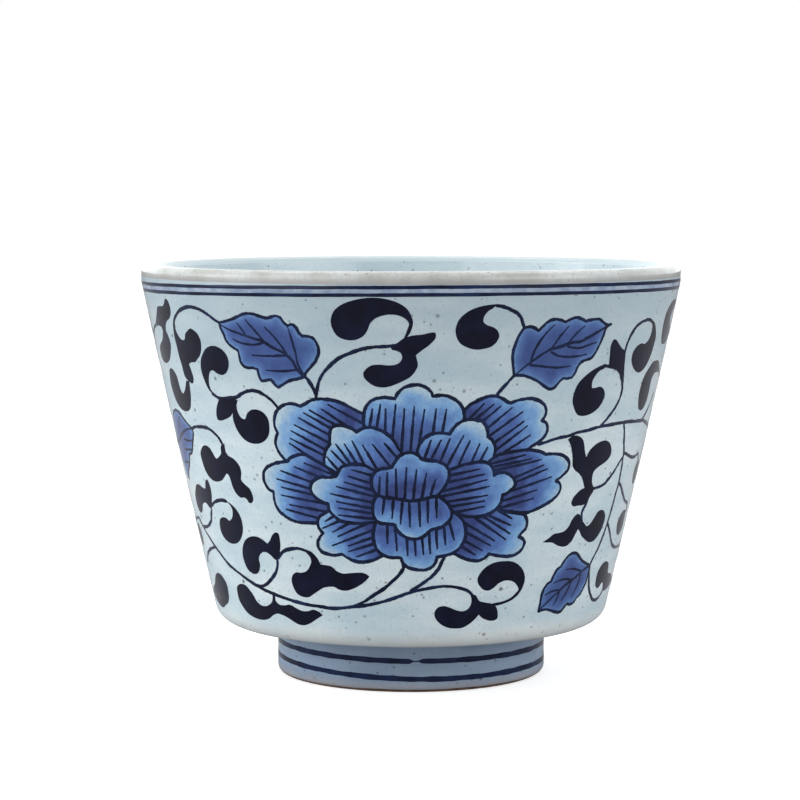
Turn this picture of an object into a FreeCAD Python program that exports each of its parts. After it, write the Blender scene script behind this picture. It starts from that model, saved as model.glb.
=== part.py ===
"""Handleless blue-and-white teacup: a flared stoneware bowl on a luted foot ring, under a thin glaze.

Frame: millimetres, +Z up, origin on the cup's axis at the plane the foot stands on.
Every piece is a body of revolution. Each one starts as a flat half section in the XZ plane, where x is the
radius and z the height, and is then turned about the axis. The glazed outer skin is drawn once; the clay is
that skin offset inwards by the glaze thickness, and the glaze is what lies between the two.
"""

import FreeCAD
import Part
import math
import os

# Driving dimensions, mm
MOUTH_RADIUS = 40.0
CUP_HEIGHT = 61.0
FOOT_RADIUS = 20.0
FOOT_HEIGHT = 6.8
WALL_THICKNESS = 3.0  # measured across, level with the floor
FLOOR_THICKNESS = 4.4
GLAZE_THICKNESS = 0.4

# Outer skin
WALL_SLOPE = 0.2215  # radius gained per mm of height, about 12.5 degrees off vertical
WALL_BULGE = 0.2  # how far the wall swells beyond a straight cone at mid height
WALL_SWELL_RADIUS = 2300.0  # the two halves of the wall meet in this very slow curve
UNDERSIDE_SLOPE = 0.153  # height gained per mm outwards from the foot, about 9 degrees
SHOULDER_RADIUS = 3.3
LIP_HEIGHT = 2.5  # the lip turns upright this far below the top
LIP_WIDTH = 2.4
LIP_ROUNDING = 1.15

# Inner skin
FLOOR_CORNER_RADIUS = 9.0

# Foot
FOOT_RING_WIDTH = 3.4
FOOT_TAPER = 0.6  # the ring is this much thicker where it joins the bowl
FOOT_OUTER_ROUNDING = 1.0
FOOT_INNER_ROUNDING = 0.8
FOOT_THROAT_RADIUS = 0.6
RECESS_HEIGHT = 5.6
RECESS_CORNER_RADIUS = 1.4
BARE_FOOT_HEIGHT = 0.4  # the glaze is wiped off up to here, so the cup doesn't stick to the kiln shelf

# The thin glaze of the lip runs from this height outside, over the top, to this height inside
LIP_GLAZE_OUTSIDE = 59.25
LIP_GLAZE_INSIDE = 60.1

# Painted bands as (bottom, top), inlaid in the glaze
RIM_LINE_UPPER = (58.72, 59.2)
RIM_WASH_BAND = (58.17, 58.72)
RIM_LINE_LOWER = (57.69, 58.17)
FOOT_LINE_UPPER = (4.5, 5.15)
FOOT_LINE_LOWER = (1.68, 2.33)
PAINT_DEPTH = 0.15

# Limits for the zones that pick out part of a section
PAST_AXIS = -3.0  # sections run this far beyond the axis, so that an offset leaves a clean cut on it
OUTSIDE = MOUTH_RADIUS + 10.0
BELOW = -1.0
ABOVE = CUP_HEIGHT + 1.0


def point(radius, height):
    """A point of the half section."""
    return FreeCAD.Vector(radius, 0, height)


def rounded_face(corners):
    """Flat face inside (radius, height, rounding) corners, each corner rounded by its own arc."""
    places = [point(radius, height) for radius, height, _ in corners]
    edges = []
    first_arrive = last_leave = None
    for i, (_, _, rounding) in enumerate(corners):
        corner = places[i]
        back = (places[i - 1] - corner).normalize()
        ahead = (places[(i + 1) % len(places)] - corner).normalize()
        arrive = leave = corner
        arc = None
        if rounding:
            half_angle = back.getAngle(ahead) / 2
            middle_way = (back + ahead).normalize()
            to_centre = rounding / math.sin(half_angle)
            reach = (to_centre**2 - rounding**2) ** 0.5
            arrive = corner + back * reach
            leave = corner + ahead * reach
            arc = Part.Arc(arrive, corner + middle_way * (to_centre - rounding), leave)
        if last_leave is None:
            first_arrive = arrive
        else:
            edges.append(Part.LineSegment(last_leave, arrive).toShape())
        if arc:
            edges.append(arc.toShape())
        last_leave = leave
    edges.append(Part.LineSegment(last_leave, first_arrive).toShape())
    return Part.Face(Part.Wire(edges))


def zone(*outline):
    """Flat face inside straight (radius, height) corners, used to pick out part of a section."""
    places = [point(radius, height) for radius, height in outline]
    return Part.Face(Part.makePolygon(places + places[:1]))


def box_zone(r_low, r_high, z_low, z_high):
    """Rectangular zone of the half section."""
    return zone((r_low, z_low), (r_high, z_low), (r_high, z_high), (r_low, z_high))


def wall_radius(height):
    """Outer radius of the wall as a straight cone, before its bulge."""
    return MOUTH_RADIUS - WALL_SLOPE * (CUP_HEIGHT - LIP_HEIGHT - height)


def cup_section():
    """The whole glazed cup as one half section, running past the axis."""
    lip_start = CUP_HEIGHT - LIP_HEIGHT
    floor_z = RECESS_HEIGHT + FLOOR_THICKNESS

    # The shoulder corner is where the line of the underside meets the line of the wall.
    underside_at_wall = FOOT_HEIGHT + UNDERSIDE_SLOPE * (wall_radius(0) - FOOT_RADIUS)
    shoulder_z = underside_at_wall / (1 - UNDERSIDE_SLOPE * WALL_SLOPE)
    middle_z = (shoulder_z + lip_start) / 2

    inner_mouth_r = MOUTH_RADIUS - LIP_WIDTH
    inner_floor_r = wall_radius(floor_z) - WALL_THICKNESS
    ring_inner_r = FOOT_RADIUS - FOOT_RING_WIDTH
    return rounded_face(
        [
            (PAST_AXIS, RECESS_HEIGHT, 0),
            (ring_inner_r - FOOT_TAPER, RECESS_HEIGHT, RECESS_CORNER_RADIUS),
            (ring_inner_r, 0, FOOT_INNER_ROUNDING),
            (FOOT_RADIUS, 0, FOOT_OUTER_ROUNDING),
            (FOOT_RADIUS, FOOT_HEIGHT, FOOT_THROAT_RADIUS),
            (wall_radius(shoulder_z), shoulder_z, SHOULDER_RADIUS),
            (wall_radius(middle_z) + WALL_BULGE, middle_z, WALL_SWELL_RADIUS),
            (MOUTH_RADIUS, lip_start, LIP_ROUNDING),
            (MOUTH_RADIUS, CUP_HEIGHT, LIP_ROUNDING),
            (inner_mouth_r, CUP_HEIGHT, LIP_ROUNDING),
            (inner_floor_r, floor_z, FLOOR_CORNER_RADIUS),
            (PAST_AXIS, floor_z, 0),
        ]
    )


def glaze_section(skin):
    """The glaze: the outermost layer of the skin, down to where it is wiped off the foot."""
    core = skin.makeOffset2D(-GLAZE_THICKNESS)
    return skin.cut(core).cut(box_zone(PAST_AXIS, OUTSIDE, BELOW, BARE_FOOT_HEIGHT))


def clay_pieces(skin, glaze):
    """The bowl, and the foot ring luted on level with its underside."""
    clay = skin.cut(glaze)
    joint_z = RECESS_HEIGHT + GLAZE_THICKNESS
    below_joint = box_zone(PAST_AXIS, OUTSIDE, BELOW, joint_z)
    return {
        "clay_bowl": clay.cut(below_joint),
        "foot_ring": clay.common(below_joint),
    }


def painted_pieces(skin):
    """The cobalt lines and the pale wash between the two at the rim."""
    paint = skin.cut(skin.makeOffset2D(-PAINT_DEPTH))
    lip_middle_r = MOUTH_RADIUS - LIP_WIDTH / 2
    ring_middle_r = FOOT_RADIUS - FOOT_RING_WIDTH / 2
    return {
        "rim_line_upper": paint.common(box_zone(lip_middle_r, OUTSIDE, *RIM_LINE_UPPER)),
        "rim_wash_band": paint.common(box_zone(lip_middle_r, OUTSIDE, *RIM_WASH_BAND)),
        "rim_line_lower": paint.common(box_zone(lip_middle_r, OUTSIDE, *RIM_LINE_LOWER)),
        "foot_line_upper": paint.common(box_zone(ring_middle_r, OUTSIDE, *FOOT_LINE_UPPER)),
        "foot_line_lower": paint.common(box_zone(ring_middle_r, OUTSIDE, *FOOT_LINE_LOWER)),
    }


def glaze_pieces(glaze, painted):
    """The coats of glaze: in the bowl, over the lip, on the wall, round the foot and under the base."""
    lip_middle_r = MOUTH_RADIUS - LIP_WIDTH / 2
    ring_middle_r = FOOT_RADIUS - FOOT_RING_WIDTH / 2
    mid_floor_z = RECESS_HEIGHT + FLOOR_THICKNESS / 2
    floor_z = RECESS_HEIGHT + FLOOR_THICKNESS
    # This outline follows the middle of the clay, so it holds the lining and none of the outer coats.
    inside = zone(
        (0, mid_floor_z),
        (FOOT_RADIUS, mid_floor_z),
        (wall_radius(floor_z) - WALL_THICKNESS / 2, floor_z),
        (lip_middle_r, LIP_GLAZE_INSIDE),
        (0, LIP_GLAZE_INSIDE),
    )
    lip = box_zone(0, lip_middle_r, LIP_GLAZE_INSIDE, ABOVE)
    lip = lip.fuse(box_zone(lip_middle_r, OUTSIDE, LIP_GLAZE_OUTSIDE, ABOVE))
    base = box_zone(0, ring_middle_r, BELOW, mid_floor_z)
    foot = box_zone(ring_middle_r, OUTSIDE, BELOW, FOOT_HEIGHT)

    unpainted = glaze
    for band in painted.values():
        unpainted = unpainted.cut(band)
    wall = box_zone(0, OUTSIDE, BELOW, ABOVE)
    for other in (inside, lip, base, foot):
        wall = wall.cut(other)
    return {
        "inner_glaze": unpainted.common(inside),
        "lip_glaze": unpainted.common(lip),
        "outer_glaze": unpainted.common(wall),
        "foot_glaze": unpainted.common(foot),
        "base_glaze": unpainted.common(base),
    }


def turned(section):
    """The solid that a half section sweeps in one full turn about the cup's axis."""
    half = section.common(box_zone(0, OUTSIDE, BELOW, ABOVE)).removeSplitter()
    if len(half.Faces) != 1:
        raise ValueError(f"a half section has {len(half.Faces)} faces, and each piece needs exactly one")
    swept = half.Faces[0].revolve(point(0, 0), FreeCAD.Vector(0, 0, 1), 360)
    solid = Part.Solid(swept.Shells[0])
    if solid.Volume < 0:
        solid.reverse()
    return solid


def main():
    skin = cup_section()
    glaze = glaze_section(skin)
    painted = painted_pieces(skin)
    sections = {**clay_pieces(skin, glaze), **glaze_pieces(glaze, painted), **painted}
    os.makedirs("parts", exist_ok=True)
    for name, section in sections.items():
        solid = turned(section)
        print(f"{name}: {solid.Volume / 1000:.3f} cm3, valid {solid.isValid()}")
        solid.exportStep(f"parts/{name}.step")


main()
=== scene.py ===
"""Looks of the blue-and-white teacup: glaze, bare clay and the painted flower, leaves and scrolls.

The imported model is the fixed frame, and every size of the cup is read from it. Lengths are in millimetres until
a mesh is made, because brushwork is thought of in millimetres; meshes are in metres.
A spot on the painted wall is (degrees, height): degrees round from the front of the cup, positive to the right
as seen from outside, and millimetres up from the foot.
"""

import math

import bpy
import numpy as np
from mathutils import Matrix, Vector, geometry


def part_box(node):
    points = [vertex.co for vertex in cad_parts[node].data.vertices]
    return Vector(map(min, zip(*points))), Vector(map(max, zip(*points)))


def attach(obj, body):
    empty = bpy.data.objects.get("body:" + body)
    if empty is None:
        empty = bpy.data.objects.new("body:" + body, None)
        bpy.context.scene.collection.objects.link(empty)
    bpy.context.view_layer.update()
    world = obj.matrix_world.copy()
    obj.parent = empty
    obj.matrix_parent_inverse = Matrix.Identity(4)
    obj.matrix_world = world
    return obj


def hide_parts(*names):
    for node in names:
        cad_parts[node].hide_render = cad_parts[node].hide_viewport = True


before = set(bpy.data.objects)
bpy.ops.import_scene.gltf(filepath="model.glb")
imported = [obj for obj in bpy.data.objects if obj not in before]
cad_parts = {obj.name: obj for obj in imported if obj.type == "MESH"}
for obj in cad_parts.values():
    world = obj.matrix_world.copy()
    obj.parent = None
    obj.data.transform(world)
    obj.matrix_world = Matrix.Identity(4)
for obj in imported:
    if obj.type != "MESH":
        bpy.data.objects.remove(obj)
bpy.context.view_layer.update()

MM = 0.001  # metres
BODY = "root"

# How finely the surfaces are cut
TURN_STEPS = 288
PROFILE_STEP = 0.4
OUTLINE_STEP = 0.3
PAINT_GRID = 0.9

# Paint lies in the glaze: its top is just proud and its underside is buried
PAINT_LIFT = 0.018
PAINT_DEPTH = 0.1
COAT_DEPTH = 0.35
PLANE_SCALE = 0.62  # mm per degree of the flat plane that the painting is cut up on
PATTERN_TURNS = (0.0, 180.0)  # the same painting goes on the front and on the back

# Brush widths
VINE = 0.53
PETAL_OUTLINE = 0.52
PETAL_VEIN = 0.41
LEAF_OUTLINE = 0.46
LEAF_VEIN = 0.36
BRUSH_SHAKE = 0.09  # how much a line's edges tremble, as a share of its width
SKIP_LENGTH = 2.0  # where the brush skips, the line is thin for this many degrees each way
PETAL_FADE = 9.0  # a petal's wash deepens over this length from its tip
EDGE_FADE = 1.6
FRONT_DEPTH = 0.3  # the petals in front are this much deeper in tone
PALE_SIDE = 0.12  # and the tips at the flower's left this much paler
VEIN_TUCK = 0.9  # petal veins run on under the petal in front by this much


# ----------------------------------------------------------------------------------------------------------
# The cup's skin, read from the frame


def seam_links(node):
    """The CAD node's edges in its seam plane: each (radius, height) corner with the corners next to it."""
    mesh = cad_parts[node].data
    corner = [(round(v.co.x / MM, 3), round(v.co.z / MM, 3)) for v in mesh.vertices]
    on_seam = [abs(v.co.y) < 1e-7 and v.co.x > -1e-7 for v in mesh.vertices]
    links = {}
    for edge in mesh.edges:
        a, b = edge.vertices
        if on_seam[a] and on_seam[b] and corner[a] != corner[b]:
            links.setdefault(corner[a], set()).add(corner[b])
            links.setdefault(corner[b], set()).add(corner[a])
    return links


def walk(links, start):
    """The corners in order from start, until the chain ends or closes."""
    chain = [start]
    last = None
    while True:
        onward = sorted(links[chain[-1]] - {last} - {start})
        if not onward:
            return chain
        last = chain[-1]
        chain.append(onward[0])


def winding(spots, outline):
    """How many times the closed outline goes round each spot."""
    a = outline
    b = np.roll(outline, -1, axis=0)
    x = spots[:, 0:1]
    y = spots[:, 1:2]
    side = (b[:, 0] - a[:, 0]) * (y - a[:, 1]) - (x - a[:, 0]) * (b[:, 1] - a[:, 1])
    rising = (a[:, 1] <= y) & (b[:, 1] > y) & (side > 0)
    falling = (a[:, 1] > y) & (b[:, 1] <= y) & (side < 0)
    return rising.sum(1) - falling.sum(1)


def skin_profile():
    """The section of the glazed skin: base centre, foot, wall, lip, and down inside to the floor's centre."""
    links = {name: seam_links(name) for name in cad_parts}
    loops = [np.array(walk(link, min(link))) for link in links.values()]
    skin = {}
    for link in links.values():
        for a in link:
            for b in link[a]:
                # The edge is skin if the place just off one side of it is outside every piece.
                step = np.subtract(b, a)
                side = np.array([step[1], -step[0]]) / np.hypot(*step)
                beside = np.add(a, b) / 2 + 0.02 * side
                if all(winding(beside[None], loop)[0] == 0 for loop in loops):
                    skin.setdefault(a, set()).add(b)
                    skin.setdefault(b, set()).add(a)
    ends = sorted((p for p in skin if len(skin[p]) == 1), key=lambda p: p[1])
    chain = walk(skin, ends[0])
    return np.array([(0, chain[0][1])] + chain + [(0, chain[-1][1])])


def profile_normals(profile):
    """Outward direction at each profile point, the longer neighbour counting for more."""
    steps = np.diff(profile, axis=0)
    sides = np.stack([steps[:, 1], -steps[:, 0]], 1)
    total = np.vstack([sides[:1], sides[:-1] + sides[1:], sides[-1:]])
    return total / np.linalg.norm(total, axis=1, keepdims=True)


PROFILE = skin_profile()
NORMALS = profile_normals(PROFILE)
RUN = np.concatenate([[0], np.cumsum(np.linalg.norm(np.diff(PROFILE, axis=0), axis=1))])
LOWEST = np.flatnonzero(PROFILE[:, 1] < PROFILE[:, 1].min() + 1e-3)
HIGHEST = np.flatnonzero(PROFILE[:, 1] > PROFILE[:, 1].max() - 1e-3)
OUTER = slice(LOWEST[-1], HIGHEST[0] + 1)


def outer_run(height):
    """How far along the section the outer skin reaches this height."""
    return np.interp(height, PROFILE[OUTER, 1], RUN[OUTER])


def run_before_foot(height):
    """The same for the inner face of the foot ring."""
    part = PROFILE[: LOWEST[0] + 1]
    return np.interp(-height, -part[1:, 1], RUN[1 : LOWEST[0] + 1])


def run_after_lip(height):
    """The same for the inside of the cup."""
    part = slice(HIGHEST[-1], len(PROFILE) - 1)
    return np.interp(-height, -PROFILE[part, 1], RUN[part])


def wave(degrees, seed, beats=(2, 3, 5, 9)):
    """A slow hand-made wander between about -1 and 1 that closes on itself after a full turn."""
    phases = np.random.default_rng(seed).uniform(0, 2 * math.pi, len(beats))
    turn = np.radians(degrees)
    return sum(np.sin(beat * turn + phase) for beat, phase in zip(beats, phases)) / len(beats)


def unevenness(degrees, run):
    """How far the thrown skin swells from true, mm: faint throwing rings and a slow wander."""
    height = np.interp(run, RUN, PROFILE[:, 1])
    rings = 0.016 * np.sin(run * 1.45 + 1.2 * wave(degrees, 3, (1, 2, 3)))
    rings = rings + 0.009 * np.sin(run * 2.6 + 1.7 * wave(degrees, 4, (1, 3, 4)))
    slow = 0.05 * wave(degrees, 5, (2, 3, 4)) * np.sin(run / 9)
    radius = np.interp(run, RUN, PROFILE[:, 0])
    return (rings + slow) * np.clip(height / 12 - 0.3, 0, 1) * np.clip(radius / 8, 0, 1)


def on_skin(degrees, run, lift=0.0):
    """Places and normals, mm, of points on the skin, lifted off it along the normal."""
    degrees, run = np.broadcast_arrays(np.asarray(degrees, float), np.asarray(run, float))
    turn = np.radians(degrees)
    level = np.zeros_like(turn)
    outwards = np.stack([np.sin(turn), -np.cos(turn), level], -1)
    sideways = np.stack([np.cos(turn), np.sin(turn), level], -1)
    upwards = np.array([0.0, 0.0, 1.0])

    radius = np.interp(run, RUN, PROFILE[:, 0])[..., None]
    height = np.interp(run, RUN, PROFILE[:, 1])[..., None]
    normal_r = np.interp(run, RUN, NORMALS[:, 0])[..., None]
    normal_z = np.interp(run, RUN, NORMALS[:, 1])[..., None]
    normal = outwards * normal_r + upwards * normal_z
    normal /= np.linalg.norm(normal, axis=-1, keepdims=True)
    along = np.cross(normal, sideways)

    swell = unevenness(degrees, run)[..., None]
    nudge = 0.05
    rise_along = (unevenness(degrees, run + nudge) - unevenness(degrees, run - nudge)) / (2 * nudge)
    rise_round = (unevenness(degrees + nudge, run) - unevenness(degrees - nudge, run)) / (2 * nudge)
    rise_round = rise_round[..., None] / np.maximum(np.radians(radius), 0.02)
    place = outwards * radius + upwards * height + normal * (swell + lift)
    tilted = normal - along * rise_along[..., None] - sideways * rise_round
    return place, tilted / np.linalg.norm(tilted, axis=-1, keepdims=True)


def mm_per_degree(height):
    """Length of one degree round the wall at this height."""
    return np.radians(np.interp(height, PROFILE[OUTER, 1], PROFILE[OUTER, 0]))


# ----------------------------------------------------------------------------------------------------------
# Meshes


def add_piece(name, places, normals, faces, material):
    """A smooth-shaded mesh object that rides on the cup; places are in mm."""
    mesh = bpy.data.meshes.new(name)
    mesh.from_pydata((places * MM).tolist(), [], faces)
    mesh.polygons.foreach_set("use_smooth", [True] * len(mesh.polygons))
    mesh.normals_split_custom_set_from_vertices(normals.tolist())
    mesh.materials.append(material)
    piece = bpy.data.objects.new(name, mesh)
    bpy.context.scene.collection.objects.link(piece)
    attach(piece, BODY)
    return piece


def coat(node, run_start, run_end, material, start_wave=0.0):
    """A coat of glaze turned along the skin between two runs. It stands for the CAD node and takes its name."""
    kinks = RUN[(RUN > run_start + 0.02) & (RUN < run_end - 0.02)]
    count = math.ceil((run_end - run_start) / PROFILE_STEP) + 1
    runs = np.unique(np.concatenate([np.linspace(run_start, run_end, count), kinks]))
    keep = np.concatenate([[True], np.diff(runs) > 0.03])
    runs = runs[keep]
    runs[-1] = run_end
    degrees = np.arange(TURN_STEPS) * 360 / TURN_STEPS

    buried = np.unique(np.append(np.arange(0, len(runs), 6), len(runs) - 1))[::-1]
    rows = [(run, 0.0) for run in runs] + [(runs[i], -COAT_DEPTH) for i in buried]
    places = []
    normals = []
    rings = []
    first = 0
    for run, lift in rows:
        shift = start_wave * (0.5 + 0.5 * wave(degrees, 11, (3, 7, 12, 19)))
        near_start = max(0.0, 1 - (run - run_start) / 1.5)
        place, normal = on_skin(degrees, run + shift * near_start, lift)
        # A row on the axis is a single point.
        count = TURN_STEPS if 0 < run < RUN[-1] else 1
        places.append(place[:count])
        normals.append(normal[:count] if lift == 0 else -normal[:count])
        rings.append([first + i % count for i in range(TURN_STEPS)])
        first += count
    places = np.concatenate(places)
    normals = np.concatenate(normals)

    faces = []
    for ring, after in zip(rings, rings[1:] + rings[:1]):
        for i in range(TURN_STEPS):
            j = (i + 1) % TURN_STEPS
            corners = list(dict.fromkeys((ring[i], ring[j], after[j], after[i])))
            if len(corners) > 2:
                faces.append(corners)
    piece = add_piece(f"{node}_coat", places, normals, faces, material)
    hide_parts(node)
    return piece


def inlay(name, spots, faces, material, tones=None, turns=(0.0,), nodes=()):
    """A thin closed sheet of paint let into the wall, from flat (degrees, height) spots."""
    spots = np.asarray(spots, float)
    used = sorted({i for face in faces for i in face})
    number = {old: new for new, old in enumerate(used)}
    spots = spots[used]
    faces = [tuple(number[i] for i in face) for face in faces]
    count = len(spots)
    uses = {}
    for face in faces:
        for a, b in zip(face, face[1:] + face[:1]):
            uses[(a, b)] = uses.get((a, b), 0) + 1
    rims = [(a, b) for a, b in uses if (b, a) not in uses]
    sheet = list(faces)
    sheet += [tuple(i + count for i in reversed(face)) for face in faces]
    sheet += [(a, a + count, b + count, b) for a, b in rims]

    run = outer_run(spots[:, 1])
    places = []
    normals = []
    all_faces = []
    for index, turn in enumerate(turns):
        top, normal = on_skin(spots[:, 0] + turn, run, PAINT_LIFT)
        bottom, _ = on_skin(spots[:, 0] + turn, run, -PAINT_DEPTH)
        first = 2 * count * index
        places += [top, bottom]
        normals += [normal, -normal]
        all_faces += [tuple(i + first for i in face) for face in sheet]
    piece = add_piece(name, np.concatenate(places), np.concatenate(normals), all_faces, material)
    if tones is not None:
        tones = np.asarray(tones, np.float32)[used]
        attribute = piece.data.attributes.new("tone", "FLOAT", "POINT")
        attribute.data.foreach_set("value", np.tile(tones, 2 * len(turns)))
    if nodes:
        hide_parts(*nodes)
    return piece


# ----------------------------------------------------------------------------------------------------------
# Brush curves


def curve_through(knots, closed=False):
    """Close-set spots along the smooth curve through the knots."""
    knots = np.array(knots, float)
    if closed:
        knots = np.vstack([knots[-1:], knots, knots[:2]])
    steps = np.diff(knots, axis=0)
    scale = mm_per_degree((knots[:-1, 1] + knots[1:, 1]) / 2)
    gaps = np.hypot(steps[:, 0] * scale, steps[:, 1])[:, None]
    slopes = steps / gaps
    ways = np.empty_like(knots)
    ways[1:-1] = (slopes[:-1] * gaps[1:] + slopes[1:] * gaps[:-1]) / (gaps[:-1] + gaps[1:])
    ways[0] = 1.5 * slopes[0] - 0.5 * ways[1] if len(knots) > 2 else slopes[0]
    ways[-1] = 1.5 * slopes[-1] - 0.5 * ways[-2] if len(knots) > 2 else slopes[-1]
    first = 1 if closed else 0
    last = len(knots) - 2 if closed else len(knots) - 1
    spots = []
    for i in range(first, last):
        gap = gaps[i, 0]
        t = np.arange(math.ceil(gap / OUTLINE_STEP))[:, None] / math.ceil(gap / OUTLINE_STEP)
        start = knots[i] * (1 + 2 * t) * (1 - t) ** 2 + ways[i] * gap * t * (1 - t) ** 2
        end = knots[i + 1] * t**2 * (3 - 2 * t) - ways[i + 1] * gap * t**2 * (1 - t)
        spots.append(start + end)
    if not closed:
        spots.append(knots[-1:])
    return np.vstack(spots)


def split_at_corners(outline):
    """The runs of a closed outline between its corners. A corner is a spot followed by CORNER."""
    spots = [spot for spot in outline if spot is not CORNER]
    corners = []
    for i, spot in enumerate(outline):
        if spot is CORNER:
            corners.append(sum(1 for other in outline[:i] if other is not CORNER) - 1)
    if not corners:
        return [spots], True
    runs = []
    for start, end in zip(corners, corners[1:] + [corners[0] + len(spots)]):
        runs.append([spots[i % len(spots)] for i in range(start, end + 1)])
    return runs, False


def blob(outline):
    """The filled shape inside a closed outline, smooth between its corners."""
    runs, smooth = split_at_corners(outline)
    if smooth:
        return curve_through(runs[0], closed=True)
    return np.vstack([curve_through(run)[:-1] for run in runs])


def stroke(path, width, start=1.0, end=1.0):
    """Outline of a brush line along a path of spots; start and end are its end widths as shares of width."""
    scale = mm_per_degree(path[:, 1])
    steps = np.gradient(path, axis=0)
    steps[:, 0] *= scale
    steps /= np.linalg.norm(steps, axis=1, keepdims=True)
    gaps = np.diff(path, axis=0)
    along = np.concatenate([[0], np.cumsum(np.hypot(gaps[:, 0] * scale[1:], gaps[:, 1]))])
    share = along / along[-1]
    ease = 0.45
    swell = np.minimum(
        start + (1 - start) * np.clip(share / ease, 0, 1),
        end + (1 - end) * np.clip((1 - share) / ease, 0, 1),
    )
    hand = 1 + 0.09 * np.sin(along * 1.3 + path[0, 0] * 3) + 0.05 * np.sin(along * 3.1 + path[0, 1] * 5)
    shake = 1 + BRUSH_SHAKE * np.random.default_rng(len(path)).standard_normal((2, len(path), 1))
    half = (width / 2 * swell * hand)[:, None]
    across = np.stack([-steps[:, 1] / scale, steps[:, 0]], 1) * half
    ahead = np.stack([steps[:, 0] / scale, steps[:, 1]], 1) * half
    left = across * shake[0]
    right = across * shake[1]
    turns = np.radians([60, 0, -60])[:, None]
    end_cap = path[-1] + left[-1] * np.sin(turns) + ahead[-1] * np.cos(turns)
    start_cap = path[0] - left[0] * np.sin(turns) - ahead[0] * np.cos(turns)
    return np.vstack([path + left, end_cap, (path - right)[::-1], start_cap])


def outline_strokes(outline, width):
    """Brush lines along a closed outline, one for each run between corners."""
    runs, smooth = split_at_corners(outline)
    if smooth:
        path = curve_through(runs[0], closed=True)
        return [stroke(np.vstack([path, path[:1]]), width)]
    return [stroke(curve_through(run), width, 0.9, 0.9) for run in runs]


# ----------------------------------------------------------------------------------------------------------
# The painting. Each list goes round its shape through the spots where its curve bends.

CORNER = None

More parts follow.
